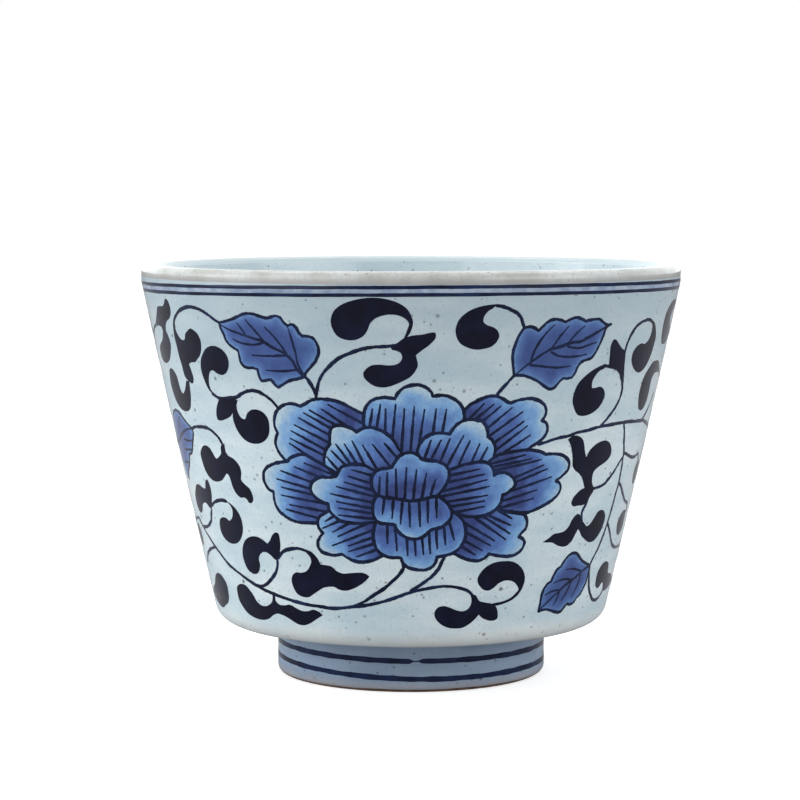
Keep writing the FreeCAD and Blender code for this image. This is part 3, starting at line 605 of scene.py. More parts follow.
# Filled scrolls, commas and buds
SCROLLS = [
    [(-16.1, 54.2), (-15.25, 55.7), (-13.5, 56.6), (-11.5, 57.1), (-9, 57.45), (-6.5, 57.5), (-4.25, 57.25),
     (-2.25, 56.75), (-0.75, 56), (0.1, 55), (0.4, 54.2), (0.1, 53.2), (-0.5, 52.4), (-1.6, 51.75), CORNER,
     (-0.75, 53.2), (-0.4, 54), (-1, 54.6), (-2, 55), (-3.75, 55.25), (-5.5, 55.1), (-7, 54.7), (-8.1, 54),
     (-8.6, 53.2), (-9.25, 52.5), (-10.25, 52), (-11.75, 51.7), (-13.5, 51.8), (-15, 52.3), (-15.75, 53.1)],
    [(-4, 50.85), CORNER, (-2.75, 51.4), (-1.5, 52), (0, 52.35), (2, 52.5), (4.95, 52.6), (4.95, 52.15), (4, 51.3),
     (2, 50.25), (1, 49.7), CORNER, (1.25, 49), (1.4, 48.3), (1, 47.65), (0, 46.8), (-1.5, 46.2), (-3.5, 45.6),
     (-5.5, 45.25), (-7.5, 45.4), (-9, 46), (-9.75, 46.6), (-9.9, 47.2), (-9.25, 47.8), (-8, 48.3), (-6.5, 48.4),
     (-4.75, 48.3), (-3.25, 48.4), (-2.25, 48.75), (-1.8, 49.4), (-2.1, 50), (-3, 50.3), (-4, 50.55)],
    [(17, 56.5), (15.5, 56.5), (13.75, 56.3), (12, 55.9), (10.25, 55.1), (9.25, 54.2), (8.9, 53.2), (9.1, 52.2),
     (10, 51.25), (11.5, 50.7), (13.25, 50.4), (15, 50.5), (16.5, 50.8), (17.6, 51.5), (18, 52.25), (17.5, 53),
     (16.4, 53.5), (15.25, 53.75), (14.45, 54.25), (14.5, 54.8), (15.25, 55.6), (16.4, 56.1)],
    [(-49.25, 43.4), (-50.75, 44.25), (-51.5, 45.3), (-51.9, 46.5), (-51.6, 47.7), (-50.5, 48.8), (-49, 49.7),
     (-47, 50.2), (-45, 50.2), (-43.25, 49.7), (-42.1, 48.8), (-42.05, 47.8), (-42.75, 46.9), (-44, 46.3),
     (-45.25, 46.2), (-46.5, 46.4), (-47.5, 46.75), (-48.5, 46.6), (-49.5, 45.75), (-49.9, 44.8), (-49.6, 44),
     (-48.6, 43.3)],
    [(-41.5, 43.1), (-43.5, 42.9), (-45.75, 42.9), (-47.25, 42.7), CORNER, (-48.1, 42), (-49, 41), (-49.3, 40.2),
     (-49.1, 39.7), (-48, 39.6), (-46, 39.9), (-44, 40.5), (-43, 41.3), (-42.25, 42)],
    [(-42.25, 42.5), (-43.25, 41.3), (-43.6, 40), (-43.1, 38.8), (-42, 37.7), (-40.5, 37), (-38.5, 36.7),
     (-36.5, 36.8), (-34.75, 37.3), (-33.4, 38.3), (-33, 39.5), (-33.25, 40.5), (-34.25, 41.25), (-35.75, 41.6),
     (-37.5, 41.5), (-39, 40.9), (-39.9, 40.1), (-41, 40.3), (-41.75, 41.2), (-41.75, 42), (-41.1, 42.8)],
    [(-59.5, 53.6), (-60.5, 52.7), (-61, 51.3), (-61, 50), (-60.75, 48.5), (-60.25, 47), (-59.75, 45.3),
     (-58.5, 44.8), (-56.5, 44.6), (-55.9, 45.3), (-56.1, 46.3), (-56.6, 47.3), CORNER, (-55.5, 47.6),
     (-53.5, 47.75), (-52.5, 48.2), (-51.25, 48.8), (-50.4, 49.8), (-50.1, 51), (-50.75, 51.8), (-52, 52.3),
     (-53.25, 52.5), (-54.25, 52.2), (-55.5, 51.7), (-56.5, 50.8), (-57.75, 50.75), (-58.9, 51.3), (-59.7, 52.2),
     (-59.5, 53.2)],
    [(-68, 46.25), (-66.5, 46.2), (-65, 45.5), (-64.25, 44.3), (-63.75, 43.2), (-63, 42.8), (-62, 43.1),
     (-60.75, 43.8), (-59.75, 44.8), CORNER, (-58.25, 44.8), CORNER, (-58.5, 43.5), (-59.5, 41.7), (-60.5, 40.8),
     (-62.25, 40.3), (-64.5, 40.2), (-66.75, 40.5), (-68.75, 41.3), (-70, 42.5), (-70.4, 43.8), (-70, 45.2),
     (-69, 46)],
    [(-61.75, 56.5), (-63, 55.8), (-64, 55.4), (-66, 55.3), (-68, 55.1), (-69.25, 54.4), (-70.75, 53.5),
     (-72.25, 52.7), CORNER, (-71.5, 52.3), (-70, 52.4), (-68, 52.25), CORNER, (-67.6, 51.8), (-68.25, 51),
     (-70, 50.2), (-72, 49.7), (-73.75, 49), (-74.25, 48), (-73.25, 47.2), (-71, 46.9), (-68.75, 47.1),
     (-66.5, 47.8), (-65, 48.9), (-64.25, 50), (-64.5, 51), (-65.4, 51.8), CORNER, (-64.75, 52.7), (-63.5, 53.25),
     (-61.75, 53.7), (-60.6, 54.5), (-60.25, 55.5), (-60.75, 56.25)],
    [(-53.6, 34.5), (-54.5, 35.2), (-56, 35.6), (-57.75, 35.5), (-59, 35), (-60, 34.3), (-60.1, 33.2), (-59.5, 32),
     (-58, 31), (-56, 30.5), (-54, 30.5), (-51.75, 30.9), (-50.25, 31.6), (-49.5, 31.9), (-48.9, 31.7),
     (-48.4, 30.8), (-47.9, 29.8), (-47, 29), (-45.75, 28.6), (-44.5, 28.7), (-43.75, 28.5), (-43.1, 28),
     (-42.25, 28), (-41.5, 28.4), (-41.4, 29.2), (-42, 30.1), (-43.5, 30.7), (-44.5, 31.3), (-44.1, 32),
     (-44, 32.8), (-44.5, 33.5), (-45.75, 34.2), (-48.1, 34.8), (-48.3, 36.3), CORNER, (-49.9, 35.8),
     (-50.25, 34.8), (-51.5, 34.2), (-52.7, 33.9)],
    [(-52, 27.8), (-50, 27.4), (-48.25, 26.7), (-47.1, 25.5), (-47.1, 24.3), (-48, 23), (-49.5, 22.1),
     (-51.5, 21.6), (-53.75, 21.5), (-55.75, 21.8), (-57.25, 22.5), (-57.9, 23.5), (-57.6, 24.3), (-56.5, 25),
     (-55, 25.25), (-53.5, 25.2), (-52.5, 24.9), (-51.25, 25.2), (-50.25, 26), (-50.1, 26.8), (-51, 27.4)],
    [(-59.4, 30.5), (-58.75, 30), (-58.6, 28.8), (-59.1, 27.7), (-59.75, 26.8), (-60.5, 26), CORNER, (-62, 26.4),
     (-63, 26.8), (-64.5, 26.8), (-66, 26.4), (-67, 25.7), (-68, 25.2), (-69.5, 25), (-71, 25.5), (-71.5, 26.5),
     (-71, 27.5), (-69.5, 28.5), (-67.75, 29.25), (-65.75, 29.4), (-64, 29.2), (-62.75, 29), (-61.6, 29.1), CORNER,
     (-61, 29.8), (-60.25, 30.4)],
    [(-61.25, 14), (-61.5, 15), (-62.75, 15.75), (-64.5, 16.2), (-66.5, 16.25), (-68.5, 15.9), (-70.25, 15.2),
     (-72, 14.3), (-74, 13.8), (-76, 13.3), (-78.25, 12.5), CORNER, (-76, 11.7), (-73.25, 11.2), (-70.75, 10.9),
     (-68, 11), (-65.75, 11.5), (-63.5, 12), (-62, 12.8)],
    [(-39, 22.3), CORNER, (-40.25, 22.75), (-42, 23.1), (-44, 23.1), (-46, 22.75), (-47.75, 22), (-48.9, 21),
     (-49.4, 19.8), (-49, 18.7), (-47.75, 17.8), (-46.25, 17.5), (-44.75, 17.6), (-43.5, 18.2), (-43, 19),
     (-43.1, 19.8), (-42.5, 20.4), (-41.25, 20.9), (-40, 21), (-38.75, 20.7), (-37.75, 20.25), CORNER, (-36.75, 20),
     (-36.25, 20.3), (-35.25, 21.3), (-34.75, 22.3), (-34.7, 23.3), (-35, 24), (-35.9, 24.05), (-37, 23.6),
     (-38, 22.8)],
    [(-25.75, 21.6), (-24.5, 21), (-23.5, 19.9), CORNER, (-21.75, 19.85), (-20.5, 19.7), (-19.25, 19.1),
     (-17.75, 18.8), (-15.5, 18.9), (-13.5, 19), (-12, 18.97), (-10.6, 18.5), CORNER, (-11.75, 17.8), (-13.5, 17.1),
     (-15.25, 16.6), (-17.25, 16.3), (-19, 16.4), (-20.25, 16.75), (-21.5, 16.75), (-23.5, 16.5), (-25, 16),
     (-26.5, 15.5), (-28, 15), (-29.75, 14.95), (-31.5, 15.3), (-32.5, 16.2), (-32.8, 17.2), (-32.1, 18.1),
     (-31, 18.5), (-29.5, 18.5), (-28, 18.75), (-26.75, 19.5), (-26.1, 20.3), (-26.4, 21), (-27.25, 21.5)],
    [(-55.75, 14), (-55.5, 14.8), (-54.5, 15.3), (-52.5, 15.6), (-50.75, 15.5), (-49.25, 14.9), (-48, 14.2),
     (-46.75, 13.3), (-45.25, 12.9), (-43.5, 12.9), (-42, 13.2), (-40.75, 13.75), (-40.25, 14.7), CORNER,
     (-39.25, 14.6), CORNER, (-39.4, 14), (-38.5, 13.5), (-36.5, 13.4), (-34.5, 13.6), (-32.75, 13.25), (-31, 12.9),
     (-29, 12.9), (-27, 13.2), (-25.75, 13), (-24.4, 12.5), CORNER, (-26.25, 11.9), (-28.25, 11.25), (-30.25, 10.8),
     (-32, 10.75), (-34, 11.1), (-36, 11.6), (-37.75, 11.9), (-39.5, 12), (-41, 11.75), (-43, 11.1),
     (-45.25, 10.75), (-47.75, 10.7), (-50.25, 10.9), (-52.5, 11.3), (-54, 11.9), (-55.5, 13)],
    [(17.25, 18), (18, 18.9), (19.5, 19.75), (21.5, 20.25), (24, 20.4), (26.5, 20.25), (28.75, 19.6), (30.25, 18.7),
     (30.95, 17.5), (30.6, 16.3), (29.5, 15.3), (27.75, 14.6), (25.75, 14.2), (23.5, 13.95), (21.8, 13.8), CORNER, (21.8, 14.15), (23.75, 14.4),
     (25.75, 14.6), (27.5, 15), (29, 15.75), (29.4, 16), (28.75, 16.7), (27.75, 17.2), (26.25, 17.5), (24.5, 17.5),
     (23.25, 17.2), (22, 16.6), (20.75, 16.25), (19.5, 16.3), (18.25, 16.8), (17.4, 17.5)],
    [(16, 15.8), CORNER, (17, 15.7), (18.25, 14.8), (20, 14.5), (22, 14.25), (23.25, 13.75), (23.9, 12.8),
     (23.9, 12), (22.75, 11.75), (21, 11.9), (19.5, 12.25), (18.4, 12.8), CORNER, (17.5, 12.2), (16, 11.5),
     (14.25, 11), (12, 10.9), (9.75, 11.1), (7.75, 11.7), (6.5, 12.5), (6.2, 13.3), (7, 14), (8.5, 14.25),
     (10.25, 14), (12, 13.6), (13.5, 13.4), (15, 13.6), (15.9, 14.2), (16, 15.2), (15.75, 15.75)],
    [(46.25, 47.6), (44, 47.4), (42, 46.9), (40, 46.1), (38.6, 45.2), (37.75, 44), (37.6, 42.8), (38.4, 41.7),
     (39.75, 40.75), (41.75, 40.5), (43.75, 40.7), (45.75, 41.3), (47.1, 42.25), (47.6, 43.25), (47, 44),
     (45.75, 44.5), (44, 44.4), (42.9, 44.4), CORNER, (42.7, 45.2), (43.25, 46.1), (44.4, 46.8), (46, 47.2)],
    [(47.25, 47.2), CORNER, (46.9, 49), (46.75, 50.5), (47.25, 51.1), (48, 51.1), (49.25, 50.5), (50.75, 49.8),
     (52.1, 49.3), (52.6, 48), (53, 46.5), (52.5, 45.7), CORNER, (50.75, 46.7), (49, 47.1)],
    [(60, 53.6), (62, 53.4), (63.75, 52.9), (65, 52), (66, 50.8), (66, 49.7), (65.4, 48.5), (64.25, 47.3),
     (62.5, 46.4), (60.5, 45.97), (58.5, 46.2), (56.75, 46.9), (55.5, 48), (55.5, 48.9), (56.5, 49.7), (58.5, 50.2),
     (60.5, 50.1), (61.75, 50.5), (62.6, 51.3), (62.75, 52.2), (62.4, 52.75), (61.5, 53.1)],
    [(70, 47.3), (72, 47.25), (74, 46.8), (75.75, 46.1), (76.5, 45.5), CORNER, (75, 45.4), (73, 45.5), (71, 45.25),
     (70, 44.7), (69.6, 43.8), (69.75, 42.7), (69.5, 41.5), (68.25, 40.5), (66.5, 40.2), (64.75, 40.5),
     (63.5, 41.5), (62.9, 42.8), (63.1, 44.2), (64.25, 45.5), (66, 46.5), (68, 47.2)],
    [(70, 52.3), (70.25, 53.8), (71.75, 55), (74, 55.75), (76, 56), (78.5, 55.9), (80.5, 55.5), CORNER, (79, 54.7),
     (77, 54), (76.2, 53.2), (77.5, 52.4), (79.2, 51.6), (79.4, 50.6), (78.5, 50), (76.5, 49.6), (74.25, 49.5),
     (72, 49.8), (70.5, 50.8)],
    [(38, 37.3), CORNER, (38.75, 37.6), (40, 37.8), (41.5, 37.6), (42.75, 37.1), (43.6, 36.2), (44.25, 35.2),
     (44.9, 34.5), CORNER, (45.5, 35.2), (47, 36), (49, 36.5), (51.25, 36.6), (53.25, 36.1), (54.4, 35.2),
     (54.5, 34.3), (53.75, 33.75), (52, 33.2), (50, 32.75), (48.75, 32.2), (48.6, 31.3), (49, 30.5), (49.75, 30),
     CORNER, (46.25, 30), CORNER, (45.6, 30.7), (44.75, 31.5), (43.25, 32.25), (41.75, 32.8), (40.75, 33.5),
     (40.5, 34.2), (40, 35.2), (39.25, 36.3)],
    [(46.25, 30), (45, 29.8), (43.75, 29.3), (42.75, 28.6), (42.5, 27.9), (43.25, 27.5), (45, 27.5), (47, 27.5),
     (48.25, 27.8), (49.25, 28.7), (50, 29.4), (49.75, 30)],
    [(34.9, 22.7), CORNER, (36.5, 23.1), (38.25, 23.7), (40, 23.8), (41.5, 23.9), (42.75, 24.4), (43.75, 25.5),
     (44.75, 26.1), (46, 26.25), (46.75, 25.9), (47.5, 25.3), (49, 24.7), (50.25, 24.2), (51.5, 24.5), (52.75, 25.3),
     (54, 26.1), (55.5, 26.3), (57.1, 26), (58.25, 25.2), (58.45, 24.2), (57.75, 23.2), (56.25, 22.25),
     (54.5, 21.75), (52.5, 21.75), (50.5, 22.25), (48.5, 23), (47.5, 23.7), (46.75, 24), CORNER, (46, 23.2),
     (45, 22.3), (43.5, 21.75), (42, 21.7), (40, 22), (38, 22.5), (36, 22.6)],
    [(70, 24.9), (72, 25.2), (74.5, 24.9), (75.5, 23.8), (75, 22.4), (73.5, 21.7), (72, 21.5), (70.25, 21.7),
     (68.75, 22.5), (68.5, 24)],
    [(73.2, 30.5), (74.2, 31.9), (76.2, 32.5), (78.2, 31.9), (79, 30.6), (78.2, 29.3), (76, 28.8), (74, 29.3)],
    [(-79.8, 21.3), (-78.9, 22.5), (-77, 23), (-75, 22.5), (-74.3, 21.2), (-75.2, 20), (-77, 19.6), (-79, 20)],
    [(61.25, 15.7), (61.4, 16.7), (62.5, 17.5), (64.25, 17.97), (66.5, 17.97), (68.25, 17.6), (69.5, 16.8),
     (70.25, 16), (72, 15.8), (75, 15.5), (77.5, 14.8), (80, 14.2), CORNER, (75, 13.5), (72, 13.3), (70, 13.3),
     (69, 13.4), (68, 14.2), (67.5, 14.7), (66.25, 14.75), (65, 14.3), (63.25, 14.2), (61.75, 14.8)],
]

# Thin stems and vines
VINES = [
    [(-20.6, 43.7), (-20.2, 44.8), (-19.5, 46.1), (-18.25, 47.3), (-16.5, 48.4), (-14.75, 49.25), (-12.5, 49.9),
     (-10, 50.5), (-7.5, 50.8), (-5, 50.9), (-2.75, 51.1)],
    [(-23.1, 47), (-22, 46), (-21.2, 45.1), (-20.6, 44)],
    [(22, 46.7), (20.5, 45.6), (19.25, 44.7), (18.4, 44)],
    [(17, 56.4), (18.5, 56.2), (20, 55.8), (21.5, 55.25), (22.5, 54.5), (23, 53.7), (23.3, 53.3)],
    [(-30.25, 42.1), (-31.5, 43), (-33.25, 43.75), (-35, 44.2), (-36.5, 44.25), (-38, 44.1), (-39.75, 43.7),
     (-41.25, 43.2), (-44, 43), (-47.5, 42.9), (-49.25, 43.4)],
    [(-42.9, 53.6), (-44, 53.9), (-46, 54.6), (-48, 55.2), (-50, 55.5), (-52, 55.6), (-54, 55.4), (-56, 55),
     (-58, 54.3), (-59.5, 53.5), (-60.4, 52.3), (-60.7, 51)],
    [(-62, 37.75), (-60.25, 38.1), (-58, 38.25), (-55.75, 38.3), (-54, 38.25), (-52, 37.8), (-50.5, 37.25),
     (-49.25, 36.3), (-48.75, 35.3)],
    [(-59.75, 26.7), (-58, 27.25), (-56, 27.6), (-54, 27.8), (-52, 27.75)],
    [(-60.5, 26), (-61.5, 25.2), (-62.5, 24.3), (-64, 23.7), (-66, 23.2), (-68, 23), (-70, 22.9)],
    [(-73.25, 24), (-70, 22.8), (-66, 21.25), (-62, 19.8), (-58, 18.4), (-54, 17.45), (-50, 16.6), (-45.75, 15.75),
     (-40.5, 15), (-37, 14.6), (-33.5, 14.25), (-30, 13.95), (-26.5, 13.8), (-21, 13.63), (-16, 13.95), (-10, 14.5),
     (-5, 15.3), (0, 16.3), (4, 16.8), (8.5, 17.1), (11, 17), (13, 16.75), (15, 16.3), (16, 15.8)],
    [(-64, 20.25), (-66, 20), (-68, 19.7), (-70, 19.3), (-72, 18.75), (-73.75, 18), (-75.75, 17.2)],
    [(-36.5, 20), (-36.75, 19.3), (-37.5, 18.3), (-38.75, 17.5), (-40.5, 16.7), (-42.25, 16.1), (-44, 15.8),
     (-45.75, 15.8)],
    [(-36, 20.3), (-34.5, 21.25), (-32.75, 21.7), (-30.75, 21.97), (-29, 22), (-27.25, 21.75), (-25.75, 21.4)],
    [(-2.2, 20.8), (-1.9, 19.8), (-2.75, 19), (-4.5, 18), (-7, 16.8), (-10, 15.7), (-12.75, 14.7), (-15.5, 14)],
    [(8.25, 21.3), (7.75, 20.7), (7, 19.7), (5.75, 18.8), (4, 18), (2, 17.2), (0, 16.5)],
    [(30, 36.9), (32.5, 37.25), (35, 37.6), (38, 37.8), (40.75, 38.2), (44, 38.4), (47.5, 38.7), (50.5, 38.8),
     (54, 38.9), (57.5, 38.9), (60, 38.9), (64, 38.75), (68, 38.65), (70, 38.6), (72, 38.3), (74, 38.05),
     (76.5, 37.7), (80, 37.25), (85, 36.7), (90, 36), (95, 35.2), (100, 34.6)],
    [(46.25, 47.4), (47.25, 47.35), (49, 47.1), (50.75, 46.7), (52.25, 45.9), (53.5, 44.8), (53.9, 43.7),
     (53.6, 42.5), (52.5, 41.3), (51, 40.3), (49.5, 39.5), (48, 38.8)],
    [(53.75, 44.8), (53, 46.3), (52.4, 48), (52.25, 49.3), (52.6, 50.7), (53.6, 51.8), (55, 52.7), (56.75, 53.25),
     (58.75, 53.5), (60, 53.55), (61.5, 53.35)],
    [(69, 38.8), (71, 39.5), (73, 40.3), (74.5, 41.3), (75.75, 42.2)],
    [(76.5, 45.6), (80, 44.8), (85, 44.4), (90, 45.2), (95, 47.4), (100, 50.2), (104, 51.7), (107.5, 52.4)],
    [(57.75, 38.8), (58.75, 37.8), (60, 36), (61, 34.6), (61.6, 33), (62, 31.5), (62.1, 30), (61.75, 28.3),
     (61.4, 26.7), (60.9, 25), (60.25, 23.3), (59.25, 21.8), (58.25, 20.5), (56.75, 19.2), (55.7, 18.3)],
    [(61.4, 33.8), (60.25, 33.2), (59, 32.4), (57.5, 31.5), (55.75, 30.7), (54, 30.1), (52, 29.85), (50, 29.75)],
    [(61.25, 34.3), (64, 33.85), (66, 33.5), (68.5, 33.25), (71, 33.3), (72.5, 33.6), (74.5, 33), (76, 32.3)],
    [(62, 29.9), (64, 29.3), (66, 28.4), (68, 27.5), (70, 26.8), (72, 26.4), (74, 26.1), (75.2, 24.8)],
    [(60.75, 24), (62.25, 23.25), (64, 22.2), (66, 21.1), (68, 20.3), (70, 19.9), (72, 19.7), (78, 19.6),
     (85, 20.4), (92, 21.8), (99, 23.2), (106.75, 24)],
    [(55.6, 18), (56.25, 16.7), (57.25, 15.3), (58.75, 14), (60.5, 13.1), (62.5, 12.5), (64.5, 12.4), (66.5, 12.6),
     (68, 13.2), (69.5, 13.8)],
    [(48.5, 28.3), (47.75, 27.3), (47.1, 26.5), (47.3, 25.6), (47.9, 24.7)],
    [(91, 55.9), (93.5, 55.6), (96.5, 54.4), (99, 52.2), (100.5, 50.5)],
    [(85, 17), (84, 18.2), (82.5, 19.2), (80, 19.8)],
]


# The curl that hangs from the vine at the upper right, painted again to fill the stretch at each side of the
# cup: how many times as large, or mirrored when below 0, and then where it moves to, (degrees, mm) each
CURL = SCROLLS[2]
SIDE_CURLS = [((1, 1), (74, -0.4)), ((-1, 1), (106, -12)), ((1.1, 0.9), (70, -14.5)), ((1.1, -0.9), (78, 74)),
              ((-1.2, 0.9), (105.5, -33.5))]


def painted_shapes():
    """Every painted shape as (group, closed outline), in the order the brush lays them down."""
    shapes = [("vines", stroke(curve_through(path), VINE, 0.85, 0.85)) for path in VINES]
    shapes += [("scrolls", blob(outline)) for outline in SCROLLS]
    shapes += [("scrolls", blob((np.array(CURL) * size + shift).tolist())) for size, shift in SIDE_CURLS]
    for outline, veins in LEAVES:
        shapes.append(("leaf_washes", blob(outline)))
        for i, vein in enumerate(veins):
            width = LEAF_OUTLINE if i == 0 else LEAF_VEIN
            shapes.append(("leaf_lines", stroke(curve_through(vein), width, 0.5, 0.9)))
        shapes += [("leaf_lines", line) for line in outline_strokes(outline, LEAF_OUTLINE)]
    for outline, veins in PETALS:
        if outline is not PETALS[-1][0]:
            veins = [tucked(vein) for vein in veins]
        shapes.append(("petal_washes", blob(outline)))
        shapes += [("petal_lines", stroke(curve_through(vein), PETAL_VEIN, 0.6, 1.15)) for vein in veins]
        shapes += [("petal_lines", line) for line in outline_strokes(outline, PETAL_OUTLINE)]
    return shapes


def tucked(vein):
    """A petal vein carried on past its foot, so that it ends under the petal in front."""
    scale = np.array([PLANE_SCALE, 1.0])
    way = (np.subtract(vein[-1], vein[0])) * scale
    return vein + [tuple(vein[-1] + way / np.linalg.norm(way) * VEIN_TUCK / scale)]


def depth_from_tip(spots, outline, veins):
    """How far, in mm, each spot lies from a petal's tip towards its foot, along the way its veins run."""
    scale = np.array([PLANE_SCALE, 1.0])
    way = sum(np.subtract(vein[-1], vein[0]) * scale for vein in veins)
    way /= np.linalg.norm(way)
    return (spots * scale) @ way - ((outline * scale) @ way).min()


def edge_distance(spots, outline):
    """Distance in mm from each spot to the nearest point of an outline."""
    scale = np.array([PLANE_SCALE, 1.0])
    gaps = (spots[:, None] - outline[None]) * scale
    return np.sqrt((gaps**2).sum(2).min(1))


def petal_tone(spots, outline, veins, frontness):
    """How deep a petal's wash is at each spot: palest at the tip, below 0 where it is nearly bare glaze."""
    depth = np.clip(depth_from_tip(spots, outline, veins) / PETAL_FADE, 0, 1)
    edge = np.clip(edge_distance(spots, outline) / EDGE_FADE, 0, 1)
    to_left = np.clip((-spots[:, 0] - 9) / 12, 0, 1)
    return 0.85 * depth + 0.15 * edge + FRONT_DEPTH * frontness**4 - PALE_SIDE * to_left * (1 - depth)


def cut_painting(shapes):
    """One flat triangle sheet for the whole painting: spots, triangles and the topmost shape over each."""
    scale = np.array([PLANE_SCALE, 1.0])
    points = []
    edges = []
    for _, outline in shapes:
        first = len(points)
        points += (outline * scale).tolist()
        count = len(outline)
        edges += [(first + i, first + (i + 1) % count) for i in range(count)]
    low = np.min(points, axis=0)
    high = np.max(points, axis=0)
    rows = np.arange(low[1], high[1], PAINT_GRID)
    for i, y in enumerate(rows):
        shift = PAINT_GRID / 2 if i % 2 else 0
        points += [(x, y) for x in np.arange(low[0] + shift, high[0], PAINT_GRID)]
    cut = geometry.delaunay_2d_cdt([Vector(p) for p in points], edges, [], 0, 1e-4, False)
    spots = np.array([tuple(p) for p in cut[0]]) / scale
    triangles = [tuple(face) for face in cut[2] if len(face) == 3]
    middles = spots[np.array(triangles)].mean(1)
    owner = np.full(len(triangles), -1)
    for index, (_, outline) in enumerate(shapes):
        near = ((middles >= outline.min(0)) & (middles <= outline.max(0))).all(1)
        near = np.flatnonzero(near)
        if len(near):
            owner[near[winding(middles[near], outline) != 0]] = index
    return spots, triangles, owner


def paint_pattern(finishes):
    """The flower, leaves, scrolls and vines, as one piece for each kind of brushwork."""
    shapes = painted_shapes()
    spots, triangles, owner = cut_painting(shapes)
    for group, (material, slot) in finishes.items():
        faces = []
        tones = np.zeros(len(spots))
        petals = iter(enumerate(PETALS, 1))
        for index, (kind, outline) in enumerate(shapes):
            if kind != group:
                continue
            mine = [triangles[i] for i in np.flatnonzero(owner == index)]
            faces += mine
            touched = np.unique(np.array(mine))
            if group == "petal_washes":
                order, (_, veins) = next(petals)
                tones[touched] = petal_tone(spots[touched], outline, veins, order / len(PETALS))
            if group == "leaf_washes":
                tones[touched] = np.clip(edge_distance(spots[touched], outline) / EDGE_FADE, 0, 1)
        inlay(group, spots, faces, material, tones, PATTERN_TURNS)


def paint_band(node, material, seed, sway, shake=0.0, spread=0.0, skip=None):
    """A line banded by hand all the way round, about the heights of its CAD node.

    Sway is how the line strays, mm: its rise everywhere, its lean to the right and its lift at both sides.
    Shake is how much its edges tremble, and spread how far each edge runs beyond the node. Skip is where the
    brush nearly ran dry, degrees.
    """
    low, high = (corner.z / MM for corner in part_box(node))
    columns = TURN_STEPS * 2
    degrees = np.arange(columns) * 360 / columns
    rise, lean, lift = sway
    side = np.sin(np.radians(degrees))
    stray = rise + lean * side + lift * side**2
    bottom = low - spread + stray + shake * wave(degrees, seed, (2, 5, 11, 23, 41))
    top = high + spread + stray + shake * wave(degrees, seed + 1, (2, 5, 11, 23, 41))
    middle = (bottom + top) / 2
    if skip is not None:
        thinned = 1 - 0.72 * np.exp(-(((degrees - skip) / SKIP_LENGTH) ** 4))
        bottom = middle + (bottom - middle) * thinned
        top = middle + (top - middle) * thinned
    rows = [bottom, middle, top]
    spots = np.concatenate([np.stack([degrees, row], 1) for row in rows])
    faces = []
    for row in range(len(rows) - 1):
        for i in range(columns):
            j = (i + 1) % columns
            first = row * columns
            faces.append((first + i, first + j, first + j + columns, first + i + columns))
    inlay(f"{node}_paint", spots, faces, material, nodes=[node])


# ----------------------------------------------------------------------------------------------------------
# Materials


def colour(red, green, blue):
    """Linear colour from the 0-255 values a screen shows."""
    parts = [value / 255 for value in (red, green, blue)]
    linear = [v / 12.92 if v <= 0.04045 else ((v + 0.055) / 1.055) ** 2.4 for v in parts]
    return (*linear, 1.0)


